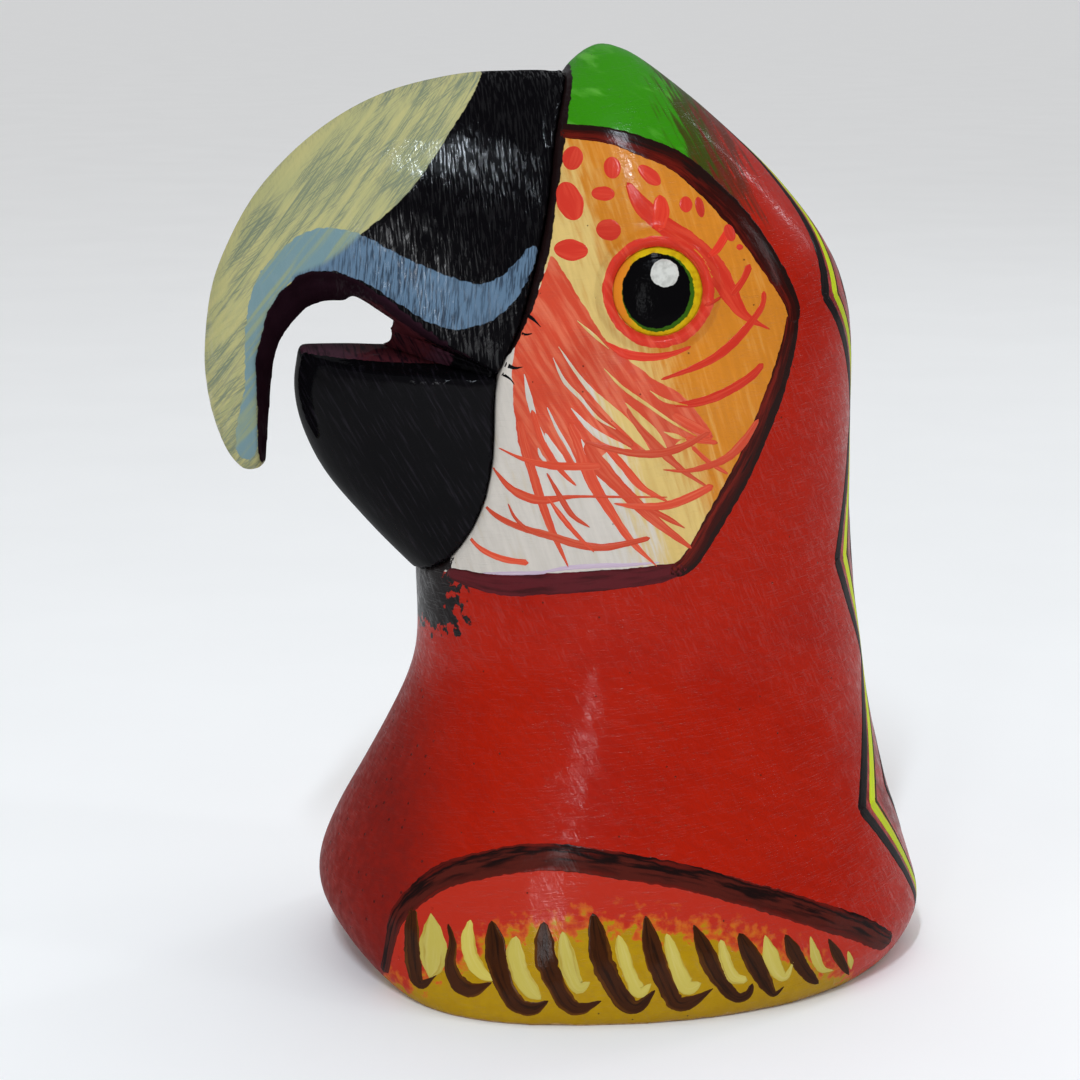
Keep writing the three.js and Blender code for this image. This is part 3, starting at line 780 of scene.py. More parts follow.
# Coral strokes that fan out below the eye, and the ones that cross them: x, z, width.
FAN = [
    [(-17.8, 86, 0.9), (-17, 82, 1.4), (-16, 78.6, 1.4), (-14.8, 74.5, 1.4), (-13.2, 70, 1.1),
     (-11, 65, 0.2)],
    [(-16, 87.6, 0.8), (-14.8, 83.6, 1), (-13.3, 80.8, 1), (-11.6, 78.6, 0.8), (-9.9, 77, 0.3)],
    [(-10.8, 86, 1.2), (-9.2, 82.5, 1.8), (-7.8, 78, 2), (-4.8, 73, 1.4), (-2, 69, 1.1),
     (1.6, 65.4, 0.2)],
    [(-8.6, 89.4, 0.7), (-6.2, 86.6, 1.2), (-3.8, 84.4, 1.2), (-2, 83, 1.4)],
    [(-2.8, 88.4, 0.8), (0.2, 84.4, 1.6), (4.8, 79.8, 1), (9.4, 76.6, 0.1)],
    [(-8.6, 83.2, 1.4), (-6.4, 79.8, 2.6), (-3.4, 76.6, 2), (1, 72.4, 1.6), (6.6, 68, 0.6)],
    [(-1, 74.6, 0.9), (2.8, 72.6, 0.9), (5.6, 71, 0.2)],
    [(-6, 83.2, 0.9), (-3.4, 80.2, 1.2), (-0.6, 77, 1.1), (3, 75, 0.3)],
    [(3.6, 87.6, 1), (6.4, 86, 1.4), (9.4, 84.4, 1)],
    [(5.4, 84.2, 0.9), (8, 83.8, 1), (10.2, 83.4, 0.6)],
    [(6.4, 83, 0.6), (9, 80.6, 0.7), (11.8, 78.8, 0.4)],
]
CROSSINGS = [
    [(-20.6, 81.6, 0.2), (-17.4, 80.4, 0.6), (-14, 79.8, 1.2), (-10, 79.8, 1.3), (-6.4, 80, 1.2)],
    [(-9, 83.6, 0.3), (-6.2, 82.8, 0.8), (-2, 82, 1.1), (1.6, 82, 1.3), (5, 82.9, 1.2), (9, 85, 0.7)],
    [(-21.6, 78.8, 0.2), (-19.4, 76.2, 1), (-17.2, 75, 1.4), (-14.6, 74.6, 1.3), (-10, 75.4, 0.5),
     (-3, 75.6, 0.4), (3, 75.6, 0.2)],
    [(-23, 73.2, 0.2), (-21, 71.6, 0.8), (-18, 70.4, 1), (-13.4, 69.4, 1.2), (-10, 68.5, 1.3),
     (-6.4, 68.1, 1.2), (-3, 68.7, 1), (0.6, 69.6, 0.7)],
    [(-25.2, 68.2, 0.2), (-23.2, 66.4, 0.8), (-20.2, 65.4, 1), (-16.6, 65.2, 0.9)],
    [(-19.4, 73.6, 0.2), (-18.4, 71.6, 0.5), (-16.4, 70, 0.6), (-13.6, 69.4, 0.2)],
    [(-14, 75.2, 0.3), (-12, 72.4, 0.8), (-9.8, 69.8, 0.7), (-7.4, 67.4, 0.3)],
    [(-14, 78.6, 0.3), (-12, 75, 0.9), (-10.4, 72.6, 0.8), (-8, 71, 0.3)],
    [(-4.6, 74.6, 0.2), (-1, 74.2, 1.1), (3, 74.4, 1.3), (6.4, 75.6, 1.4), (9.6, 77.2, 1.2)],
    [(2.4, 79.6, 0.2), (5.6, 79.4, 0.6), (8.6, 80, 1), (11.6, 81.2, 1.3), (14, 83.4, 1.4),
     (16.2, 86.6, 0.6)],
]

# Short black hairs at the edge of the beak, and pale smears along the foot of the face: x, z, width.
WHISKERS = [
    [(-17.4, 101.6, 0.9), (-15.6, 100.4, 0.5), (-14.6, 99.4, 0.1)],
    [(-18.4, 98.8, 0.8), (-16.8, 98.2, 0.4), (-15.8, 98.4, 0.1)],
    [(-20, 94, 0.9), (-18.4, 93.4, 0.5), (-17.2, 93.6, 0.1)],
    [(-20.4, 92.6, 0.7), (-19, 91.8, 0.3), (-18.4, 91, 0.1)],
]
SMEARS = [
    [(-15, 63.9, 0.3), (-11, 64.9, 0.7), (-6.5, 65.4, 0.8), (-2.5, 65.6, 0.6), (2, 66, 0.2)],
    [(-23, 62.9, 0.2), (-19, 63.4, 0.6), (-14, 64, 0.5)],
]

# The bib: the dark arch over it (x, z, width), then dark feathers and pale ones between them.
ARCH = [
    (-38.4, 3.4, 1.2), (-37.6, 8.5, 1.6), (-36.4, 13, 2.2), (-33.5, 16.7, 3), (-29.5, 20, 3.5),
    (-24.5, 22, 3.8), (-18.5, 23.6, 4), (-13, 24, 4.1), (-7, 23.4, 4), (0, 22.3, 3.9), (6.5, 20.8, 3.8),
    (13.5, 18.4, 3.8), (20, 15.8, 4), (27, 12.5, 4), (33, 9.2, 3.9), (38.6, 4.8, 3.5),
]
DARK_FEATHERS = [
    [(-34.2, 14.8, 1.4), (-34.4, 10.5, 2.3), (-34.2, 6.5, 2.5), (-33.4, 4, 1.7), (-31, 6, 0.1)],
    [(-29.2, 13.6, 0.5), (-28.6, 11, 1.2), (-29, 8, 1.9), (-28, 5.6, 2.8), (-26, 4.8, 2.4),
     (-23.2, 6.2, 0.2)],
    [(-23, 14.8, 1), (-22.6, 12, 3.1), (-22.4, 9.4, 3.5), (-21.4, 6, 2.9), (-19.6, 3.4, 2.8),
     (-17.4, 2.9, 2.3), (-15.2, 4.2, 0.3)],
    [(-15.6, 15.2, 1), (-15.6, 12.4, 3), (-15.4, 9.8, 3.5), (-14, 6.4, 2.8), (-12.4, 3.8, 2.8),
     (-10.6, 3, 2.2), (-7.6, 4.2, 0.3)],
    [(-8.6, 16.6, 1), (-8, 13.4, 3.1), (-7.4, 10, 3.5), (-5.8, 6.4, 3.1), (-4, 3.8, 3), (-2.2, 3.2, 2.3),
     (0.2, 5.6, 0.3)],
    [(-1, 16.2, 0.5), (-0.4, 13, 2.8), (0.4, 9.8, 3.2), (1.8, 6.4, 3), (3.4, 3.4, 2.8), (5.6, 3.4, 2.2),
     (8.8, 5.2, 0.2)],
    [(6, 14.6, 0.4), (7.4, 11.4, 2.6), (8.8, 8.2, 2.9), (10.6, 5.2, 2.2), (12.6, 3.2, 1.8),
     (14.2, 3.6, 1.4), (14.8, 5.2, 0.7)],
    [(12.8, 12.8, 1.1), (14, 10.4, 2.6), (15.6, 7.4, 2.9), (17.2, 4.4, 2), (18.4, 2.8, 1.1),
     (19.8, 3.8, 0.2)],
    [(20, 11.6, 0.5), (21, 9.4, 2.2), (22.6, 6.4, 2.2), (24.4, 4, 1.7), (25.6, 2.8, 0.5)],
    [(27, 9.6, 0.3), (28.4, 7, 1.7), (30, 4.2, 1.2), (31, 2.4, 0.2)],
]
PALE_FEATHERS = [
    [(-31.6, 14.6, 0.2), (-31.4, 12.4, 2.9), (-31.4, 9.6, 4.5), (-31.6, 7, 2.9), (-32, 5.4, 0.4)],
    [(-26, 14.6, 0.7), (-26.4, 12, 2.1), (-26, 9.4, 2.5), (-24.6, 7.4, 2.1), (-22.8, 6.6, 0.4)],
    [(-19.6, 13, 0.9), (-19.8, 10.4, 2.8), (-19, 7.6, 2.9), (-17.6, 5.6, 2.5), (-16.2, 4.4, 0.5)],
    [(-13, 14, 0.7), (-12.6, 11.4, 2.6), (-12, 8.6, 2.7), (-10.8, 6.2, 2.1), (-9.2, 7, 0.4)],
    [(-5, 13.6, 0.7), (-4.4, 11, 2.2), (-3.4, 8, 2.1), (-2, 5.4, 2.2), (-0.4, 6.6, 0.3)],
    [(2, 13.6, 0.7), (2.6, 11.4, 2.1), (3.6, 8.4, 2.5), (5, 5.8, 2.8), (7, 6.2, 0.7)],
    [(10, 12.2, 0.9), (10.6, 9.4, 1.8), (11.8, 6.6, 1.9), (14, 5.8, 1.3)],
    [(16.8, 12, 0.5), (17.6, 9, 2.5), (18.6, 6.6, 2.2), (20, 5.4, 1.5), (21.2, 7.4, 0.2)],
    [(24, 10.6, 0.3), (24.8, 7.6, 1.7), (26, 5.2, 1.2), (28, 4.4, 0.2)],
    [(30.4, 6.8, 0.5), (31, 4.8, 1.1), (31.2, 3.4, 0.2)],
]

# How high the yellow of the bib reaches, from front to back.
BIB_TOP_X = [-36, -30, -22, -12, 0, 12, 20, 28, 34]
BIB_TOP_Z = [4, 9.5, 14.5, 17, 16.5, 14, 11, 6, 1]

# The strip down the back: height and half width at each corner of its zigzag edge, then each
# line's distance in from that edge and its width, and the size of the diamonds inside.
STRIP = [(131, 1), (116, 9.8), (103, 17.6), (84, 7), (63, 15.4), (46, 6.6), (25.5, 20.6), (4, 9)]
STRIP_LINES = {"dark": (0.0, 2.2), "lime": (2.7, 2.0), "moss": (4.0, 0.5)}
LOZENGE_SHARE = 0.52
LOZENGE_WIDTH = 1.7

# The smudge of black under the chin.
CHIN = [
    (-40, 67), (-28, 63.6), (-26.6, 61), (-27.2, 57.5), (-26, 55.5), (-27.5, 53.5), (-31, 52), (-40, 51),
]

# The beak: where olive meets black, and the two edges of the blue stripe.
OLIVE_EDGE = [
    (-21.2, 140), (-21.5, 135.5), (-24, 131), (-27.5, 126), (-31, 121), (-34.5, 117), (-40, 112.4),
    (-45, 108.4), (-50, 106),
]
STRIPE_TOP = [
    (-14.8, 110.2), (-15.3, 110.9), (-16.4, 110.2), (-18.5, 108), (-20.5, 106.2), (-23.5, 105.4),
    (-28.5, 106.8), (-34.5, 109.4), (-40, 112.2), (-45, 113.2), (-49.5, 111.6), (-53.5, 108),
    (-56, 103.8), (-57.2, 97), (-57.4, 90), (-58.6, 84), (-59.1, 79.6), (-58.3, 77.8),
]
STRIPE_FOOT = [
    (-57.2, 77.2), (-55.9, 79.4), (-55.8, 86), (-55.4, 92), (-54.4, 97), (-52, 103), (-49, 106),
    (-45, 107), (-41, 106), (-36.5, 103.6), (-32.5, 101), (-28, 99), (-24, 99.3), (-20.5, 100.8),
    (-17.6, 104), (-15.7, 107.2), (-15, 109.2),
]

# The middle of the mouth, and how far up to it the inner side of the hook is taken to look.
MOUTH_MIDDLE = (-46, 97)
MOUTH_RISE = 8

# The back wall of the mouth: x and z in the middle, and how far they move by the side of the beak;
# the floor's height in the same way; and the paint that rounds off the crease between them.
WALL_TOP = ((-35.6, 96.8), (9.1, -0.2))
WALL_FOOT = ((-35.1, 94.8), (17.1, -3.2))
MOUTH_FLOOR = (94.5, -3.4)
MOUTH_SIDE = 21
FILLET_RADIUS = 1.4
FILLET_END = 17.2


# ---------------------------------------------------------------- grounds of paint


def eye_frame(side_name):
    """The middle of an eye's rim plane, its outward axis, and its level and upright directions."""
    points = places(frame["nodes"]["eye_" + side_name].data)
    points = np.unique(np.round(points, 3), axis=0)
    middle = points.mean(0)
    _, directions = np.linalg.eigh(np.cov((points - middle).T))
    spread = [np.ptp(points @ directions[:, i]) for i in range(3)]
    axis = directions[:, int(np.argmin(spread))]
    axis *= np.sign(axis[1]) * SIDES[side_name]
    height = (points @ axis).max() - EYE_DOME
    middle = middle + axis * (height - middle @ axis)
    level = np.cross([0, 0, 1], axis)
    level /= np.linalg.norm(level) * np.sign(level[0])
    upright = np.cross(axis, level)
    upright *= np.sign(upright[2])
    return middle, axis, level, upright


def eye_polar(points, side_name):
    """Distance from an eye's axis, and the two directions across its face."""
    middle, _, level, upright = EYES[side_name]
    across = (points - middle) @ level
    up = (points - middle) @ upright
    return np.hypot(across, up), across, up


def lid_depth(points):
    """How far inside the red ring round the eye each point is."""
    best = np.full(len(points), -FAR, dtype=float)
    for side_name, side in SIDES.items():
        distance, across, up = eye_polar(points, side_name)
        turn = np.arctan2(up, across)
        outer = RING_OUTER + 0.35 * fade(np.cos(turn + 0.9), 0.1, 0.9)
        ring = np.minimum(distance - EYE_RADIUS, outer - distance)
        best = np.where(points[:, 1] * side > 0, ring, best)
    return best


def strip_half_width(heights):
    """Half the width of the strip down the back at each height."""
    rows = sorted(STRIP)
    return np.interp(heights, [z for z, _ in rows], [width for _, width in rows])


def face_tone(points):
    """0 where the face is orange, 0.5 where it is straw and 1 where it is chalk white."""
    slant = -0.75 * points[:, 0] + 0.3 * (105 - points[:, 2])
    return np.interp(slant, [-3, 1.5, 3.5, 7, 9.5, 14], [0, 0.15, 0.4, 0.5, 0.75, 1])


def centre_line(stroke):
    """The middle of a stroke, without its widths."""
    return smooth_line([row[:2] for row in stroke], 1)


def head_fields(points, facing):
    """Every area of paint on the head, and the painted shade down the chest, worked out from the painter's
    plan.
    """
    x, y, z = points.T
    flat = points[:, [0, 2]]
    face_edge = np.vstack([centre_line(stroke) for stroke in (FACE_TOP, FACE_BACK, FACE_FOOT[1:])])
    in_front = [(place_x - 8, place_z) for place_x, place_z in reversed(BEAK_LINE)]
    order = np.argsort(face_edge[:, 0])
    top_line = np.interp(x, face_edge[order][:, 0], face_edge[order][:, 1])
    over_face = (z > 100) & ((z > top_line) | (x < 10))
    beak_z, beak_x = zip(*sorted((place_z, place_x) for place_x, place_z in BEAK_LINE))
    outward = x * facing[:, 0] + y * facing[:, 1]
    inside_bore = (np.hypot(x, y) < BORE_REACH) & (outward < 3) & (z < 70)
    underneath = (facing[:, 2] < -0.75) & (z < 1)
    return {
        "patch": depth_inside(flat, np.vstack([face_edge, in_front[:-1], [(-22, 127)]])),
        "patch_tone": face_tone(points),
        "wash": depth_inside(flat, smooth_line([*WASH, WASH[0]], 1)[:-1]),
        "lid": lid_depth(points),
        "crest": np.where(over_face, 8.5 - x - 0.12 * (z - 120), -30),
        "bib": depth_inside(flat, np.vstack([centre_line(ARCH), [(39, -5), (-39, -5)]])),
        "bib_tone": (np.interp(x, BIB_TOP_X, BIB_TOP_Z) - z) / 6 + 0.3,
        "panel": np.where(x > 12, strip_half_width(z) - np.abs(y), -FAR),
        "seam": np.where(z > beak_z[0], np.interp(z, beak_z, beak_x) - x, -FAR),
        "chin": depth_inside(flat, np.array(CHIN, dtype=float)),
        # Painted shade on the front of the chest, low down; the same area is made rough, dull and pitted.
        "chest_shade_and_pitting": fade(-x, 24, 38) * fade(z, 57, 40) * 0.8,
        "bare": np.maximum(inside_bore, underneath).astype(float),
    }


def beak_fields(points, facing):
    """The areas of paint on the upper half of the beak."""
    flat = points[:, [0, 2]]
    edge = np.vstack([smooth_line(OLIVE_EDGE, 1), [(-56, 60), (-FAR, 60), (-FAR, 140)]])
    stripe = np.vstack([smooth_line(STRIPE_TOP, 1), smooth_line(STRIPE_FOOT, 1)])
    to_mouth = np.array(MOUTH_MIDDLE) - flat
    to_mouth[:, 1] = np.minimum(to_mouth[:, 1], MOUTH_RISE)
    to_mouth /= np.linalg.norm(to_mouth, axis=1)[:, None]
    return {
        "olive": depth_inside(flat, edge),
        "stripe": depth_inside(flat, stripe),
        "inner": (facing[:, [0, 2]] * to_mouth).sum(1),
        "rear": fade(flat[:, 0], -44, -36) * fade(flat[:, 0], -22, -31) * fade(np.abs(points[:, 1]), 15, 7),
    }


def lower_fields(points, facing):
    """The floor of the mouth, inside the rim of the lower half of the beak."""
    x, y, z = points.T
    slices = np.floor(x - x.min()).astype(int)
    half_widths = np.zeros(slices.max() + 1)
    rim = z > z.max() - 4
    np.maximum.at(half_widths, slices[rim], np.abs(y)[rim])
    lip = fade(np.abs(y) / np.maximum(half_widths[slices], 1), 0.7, 0.5)
    return {
        "inner": facing[:, 2] * fade(z, 80, 86) * lip,
        "rear": fade(x, -46, -36) * fade(x, -20, -30),
    }


# ---------------------------------------------------------------- films of paint


class Films:
    """Thin closed films of paint laid on a surface, gathered into one mesh."""

    def __init__(self, name, place, deal, ragged=0.0):
        self.name = name
        self.place = place
        self.ragged = ragged
        self.deal = random.Random(deal)
        self.points, self.faces = [], []
        self.fields = {"along": [], "across": [], "tint": []}
        self.layer = 0

    def ring(self, middle, sideways, lifts, along, tint):
        """One cross-section: the upper side from left to right, then the underside back again."""
        upper, lower = [], []
        for share, lift in lifts:
            point, normal = self.place(*(middle + sideways * share))
            upper.append(point + normal * lift)
            lower.append(point - normal * FILM_SINK)
        shares = [share for share, _ in lifts]
        self.points += [tuple(point * MM) for point in upper + lower[::-1]]
        self.fields["along"] += [along] * (2 * len(lifts))
        self.fields["across"] += shares + shares[::-1]
        self.fields["tint"] += [tint] * (2 * len(lifts))

    def stroke(self, rows, round_ends=True):
        """A stroke through rows of (place, place, width)."""
        path = smooth_line(rows, FILM_STEP)
        path[:, 2] = np.maximum(path[:, 2], THINNEST)
        steps = np.hypot(*np.diff(path[:, :2], axis=0).T)
        travel = np.concatenate([[0], np.cumsum(steps)])
        tangents = np.gradient(path[:, :2], axis=0)
        tangents /= np.linalg.norm(tangents, axis=1)[:, None]
        count = max(5, math.ceil(path[:, 2].max() / FILM_STEP) + 3)
        top = FILM_LIFT + self.layer * LAYER_STEP
        inner = np.linspace(-0.84, 0.84, count - 2)
        lifts = [(-1.0, -EDGE_SINK), *[(share, top) for share in inner], (1.0, -EDGE_SINK)]
        tint = self.deal.random()
        start = len(self.points)
        for (a, b, width), (run, rise), along in zip(path, tangents, travel):
            half = width / 2
            if round_ends:
                from_end = min(along, travel[-1] - along)
                half *= math.sqrt(max(0.02, 1 - (1 - min(from_end / max(half, 0.1), 1)) ** 2))
            spot = Vector((a, b, tint * 9))
            half += (0.04 + 0.05 * half) * noise.noise(spot)
            half += self.ragged * half * noise.noise(spot * 1.4)
            self.ring(np.array([a, b]), np.array([-rise, run]) * max(half, 0.05), lifts, along, tint)
        self.faces += ring_faces(len(path), 2 * count, start)
        self.layer += 1

    def spot(self, x, z, half_length, half_width, turn):
        """An oval dab, laid as a short stroke that swells and closes again."""
        direction = np.array([math.cos(math.radians(turn)), math.sin(math.radians(turn))])
        rows = []
        for share in -np.cos(np.linspace(0, math.pi, 13)):
            place = np.array([x, z]) + direction * half_length * share
            rows.append((*place, 2 * half_width * math.sqrt(max(0.01, 1 - share * share))))
        self.stroke(rows, round_ends=False)

    def build(self, paint):
        mesh = mesh_from(self.name, self.points, self.faces)
        give(mesh, **self.fields, patch_tone=face_tone(places(mesh)))
        add_piece(self.name, mesh, MATERIALS[paint])


def placer(tree, spot):
    """Finds where a flat place lands on the surface, and the normal there.

    spot(across, height, out) is the point at a distance out on the side that is looked from.
    """

    def place(across, height):
        spots = (spot(across, max(height, 0.05), out) for out in (10, FAR))
        near, far = (Vector([value * MM for value in row]) for row in spots)
        point, normal, _, _ = tree.ray_cast(far, (near - far).normalized())
        if point is None:
            point, normal, _, _ = tree.find_nearest(near)
        return np.array(point) / MM, np.array(normal)

    return place


def strip_line(inset, side):
    """The zigzag edge of the strip down the back, moved inwards by a distance."""
    corners = [(side * (half_width - inset * 1.15), z) for z, half_width in STRIP[1:]]
    return [(side * 0.4, STRIP[0][0] - inset * 1.9), *corners]


def ruled(start, end, width, overrun=0.5):
    """A straight stroke that runs a little past both of its ends."""
    start, end = np.array(start), np.array(end)
    step = (end - start) / np.linalg.norm(end - start) * overrun
    middle = (start + end) / 2
    return [(*(start - step), width * 0.9), (*middle, width), (*(end + step), width * 0.9)]


def paint_strip(tree):
    """The zigzag strip down the back, line by line."""
    place = placer(tree, lambda y, z, out: (out, y, z))
    for number, (name, (inset, width)) in enumerate(STRIP_LINES.items()):
        films = Films(f"back_strip_{name}", place, STRIP_DEAL + number)
        for side in SIDES.values():
            corners = strip_line(inset, side)
            for start, end in zip(corners, corners[1:]):
                films.stroke(ruled(start, end, width))
        if name == "dark":
            paint_lozenges(films)
        films.build(f"strip_{name}")


def paint_lozenges(films):
    """A dark diamond inside each wide part of the strip."""
    for above, widest, below in zip(STRIP[1:], STRIP[2:], STRIP[3:]):
        if widest[1] < above[1] or widest[1] < below[1]:
            continue
        high, low = (widest[0] + (end[0] - widest[0]) * LOZENGE_SHARE for end in (above, below))
        half = widest[1] * (LOZENGE_SHARE - 0.08)
        corners = [(0, high), (half, widest[0]), (0, low), (-half, widest[0]), (0, high)]
        for start, end in zip(corners, corners[1:]):
            films.stroke(ruled(start, end, LOZENGE_WIDTH, 0.3))


def paint_side(tree, side_name):
    """All the strokes on one side of the head, in the order in which they are laid."""
    side = SIDES[side_name]
    place = placer(tree, lambda x, z, out: (x, side * out, z))
    layers = {
        "smears": ("smear", SMEARS),
        "gaps": ("ground", GAPS),
        "fan": ("coral", FAN + CROSSINGS),
        "eye_strokes": ("scarlet", EYE_STROKES),
        "face_foot": ("foot_line", [FACE_FOOT]),
        "face_line": ("face_line", [FACE_BACK, FACE_TOP]),
        "whiskers": ("soot", WHISKERS),
        "arch": ("arch", [ARCH]),
        "pale_feathers": ("pale_feather", PALE_FEATHERS),
        "dark_feathers": ("dark_feather", DARK_FEATHERS),
    }
    for number, (name, (paint, strokes)) in enumerate(layers.items()):
        ragged = FEATHER_RAGGED if "feather" in name else LINE_RAGGED
        films = Films(f"{name}_{side_name}", place, SIDE_DEAL + number, ragged)
        for rows in strokes:
            films.stroke(rows)
        films.build(paint)
    spots = Films(f"spots_{side_name}", place, SPOT_DEAL)
    for row in SPOTS:
        spots.spot(*row)
    spots.build("spot")


# ---------------------------------------------------------------- eyes and mouth


def polar_rings(side_name, profile, sectors=96):
    """A ring of places for each turn round an eye's axis; profile(turn) gives rows of (radius, height)."""
    middle, axis, level, upright = EYES[side_name]
    rings = []
    for turn in turns(sectors):
        outwards = level * math.cos(turn) + upright * math.sin(turn)
        rings.append([middle + outwards * radius + axis * height for radius, height in profile(turn)])
    return rings


def make_eye(side_name):
    """The painted button: a shallow dome with its pupil, rings and a raised white dot."""

    def profile(turn):
        rows = []
        for share in np.linspace(0.004, 1, 44):
            radius = EYE_RADIUS * share
            dome = EYE_DOME * max(0.0, 1 - (radius / EYE_RADIUS) ** 2) ** 0.7
            from_dot = math.hypot(radius * math.cos(turn) - DOT_X, radius * math.sin(turn) - DOT_Z)
            raised = 0.12 * float(fade(DOT_RADIUS - from_dot, -0.05, 0.35))
            pupil = 0.06 * float(fade(PUPIL_RADIUS - radius, -0.1, 0.2))
            rows.append((radius, dome - 0.12 + raised + pupil))
        return rows + [(EYE_RADIUS, -1.0), (EYE_RADIUS, -2.9)]

    name = f"painted_eye_{side_name}"
    mesh = ring_mesh(name, list(zip(*polar_rings(side_name, profile))))
    _, across, up = eye_polar(places(mesh), side_name)
    give(
        mesh,
        pupil=PUPIL_RADIUS + 0.1 - np.hypot(across + 0.15, (up - 0.05) / 1.1),
        green=GREEN_RADIUS - np.hypot(across - 0.1, (up + 0.2) / 1.08),
        side=across / EYE_RADIUS,
        glint=DOT_RADIUS - np.hypot(across - DOT_X, up - DOT_Z),
    )
    add_piece(name, mesh, MATERIALS["eye"], node="eye_" + side_name)


def make_lid(side_name, tree):
    """The raised ring of paint and filler round an eye, which runs out into the face."""
    middle, axis, level, upright = EYES[side_name]

    def skin(radius, turn):
        """How high the head's surface is above the rim plane."""
        outwards = level * math.cos(turn) + upright * math.sin(turn)
        start = middle + outwards * radius + axis * 10
        point, _, _, _ = tree.ray_cast(Vector(start * MM), Vector(-axis))
        return (np.array(point) / MM - middle) @ axis

    def profile(turn):
        edge = skin(LID_OUTER, turn)
        crown = LID_CROWN + 0.12 * noise.noise(Vector((math.cos(turn) * 2, math.sin(turn) * 2, 3)))
        rows = [(LID_INNER, -0.6), (LID_INNER, 0.1), (LID_INNER + 0.12, 0.45)]
        for radius in np.linspace(6.95, LID_OUTER, 16):
            fall = float(fade(radius, 7.6, LID_OUTER))
            rise = float(fade(radius, 6.3, 7.3))
            rows.append((radius, (0.5 + (crown - 0.5) * rise) * (1 - fall) + (edge - 0.04) * fall))
        return rows + [(LID_OUTER, edge - 0.6), (LID_INNER, -0.9)]

    name = f"eye_lid_{side_name}"
    mesh = ring_mesh(name, polar_rings(side_name, profile), loop=True)
    give(mesh, **head_fields(places(mesh), normals(mesh)))
    add_piece(name, mesh, MATERIALS["head"])
    return mesh


def make_mouth_fillet():
    """The thick paint that rounds off the crease at the back of the mouth."""
    rings = []
    for y in np.linspace(-FILLET_END, FILLET_END, 120):
        share = abs(y) / MOUTH_SIDE
        top, foot = (np.array(middle) + np.array(run) * share for middle, run in (WALL_TOP, WALL_FOOT))
        radius = FILLET_RADIUS * (1 - 0.6 * abs(y) / FILLET_END)
        down = (foot - top) / np.linalg.norm(foot - top)
        inwards = np.array([down[1], -down[0]])
        z = MOUTH_FLOOR[0] + MOUTH_FLOOR[1] * share + radius
        x = foot[0] + (radius - inwards[1] * (z - foot[1])) / inwards[0]
        ring = []
        for turn in np.linspace(-1.52, math.atan2(-inwards[1], -inwards[0]) + 0.1, 14):
            reach = radius + 0.12 * noise.noise(Vector((x * 0.7, y * 0.7, turn * 1.5)))
            ring.append((x + reach * math.cos(turn), y, z + reach * math.sin(turn)))
        buried = x + 1.9 * radius
        rings.append([*ring, (buried, y, z + 1.2 * radius), (buried, y, z - 1.2 * radius)])
    mesh = ring_mesh("mouth_fillet", rings)
    from_middle = np.abs(places(mesh)[:, 1])
    give(mesh, inner=fade(from_middle, 15, 9), rear=fade(from_middle, 12, 4))
    add_piece("mouth_fillet", mesh, MATERIALS["lower_beak"])


# ---------------------------------------------------------------- turned wood and seeds


def turned(name, rows, sectors, flute=None):
    """A solid turned round X through rows of (along, radius); flute(turn, along) may groove it."""
    rings = []
    for along, radius in rows:
        ring = []
        for turn in turns(sectors):
            reach = radius * (flute(turn, along) if flute else 1)
            ring.append((along, reach * math.cos(turn), reach * math.sin(turn)))
        rings.append(ring)
    return ring_mesh(name, rings)


def make_dowel(node):
    """A fluted peg with chamfered ends."""
    lowest, highest = box_of(node)
    radius = (highest[2] - lowest[2]) / 2
    length = highest[0] - lowest[0]
    rows = [(0, radius - 0.6), (0.25, radius - 0.3), (0.6, radius)]
    rows += [(along, radius) for along in np.linspace(1.2, length - 1.2, 24)]
    rows += [(length - 0.6, radius), (length - 0.25, radius - 0.3), (length, radius - 0.6)]

    def flute(turn, along):
        ends = min(along, length - along)
        return 1 - 0.05 * float(fade(ends, 0.5, 2.0)) * (0.5 + 0.5 * math.cos(12 * turn))

    mesh = turned("peg_" + node, rows, 72, flute)
    mesh.transform(Matrix.Translation(Vector((lowest[0], 0, (lowest[2] + highest[2]) / 2)) * MM))
    add_piece("peg_" + node, mesh, MATERIALS["dowel"], node=node)


def make_plug():
    """The round plug under the base, with the fine rings that a lathe leaves on its face."""
    lowest, highest = box_of("base_plug")
    radius = (highest[0] - lowest[0]) / 2
    height = highest[2] - lowest[2]
    rows = []
    for share in np.linspace(0.01, 0.965, 60):
        groove = 0.05 * (0.5 - 0.5 * math.cos(radius * share * 2 * math.pi / 1.2))
        rows.append((groove, radius * share))
    rows += [(0.1, radius - 0.6), (0.35, radius - 0.25), (0.9, radius), (height - 0.6, radius)]
    rows += [(height - 0.1, radius - 0.5)]
    rows += [(height, radius * share) for share in (0.9, 0.6, 0.3, 0.01)]
    mesh = turned("turned_plug", rows, 120)
    mesh.transform(Matrix.Rotation(-math.pi / 2, 4, "Y"))
    mesh.transform(Matrix.Translation(Vector((0, 0, lowest[2])) * MM))
    add_piece("turned_plug", mesh, MATERIALS["plug"], node="base_plug")


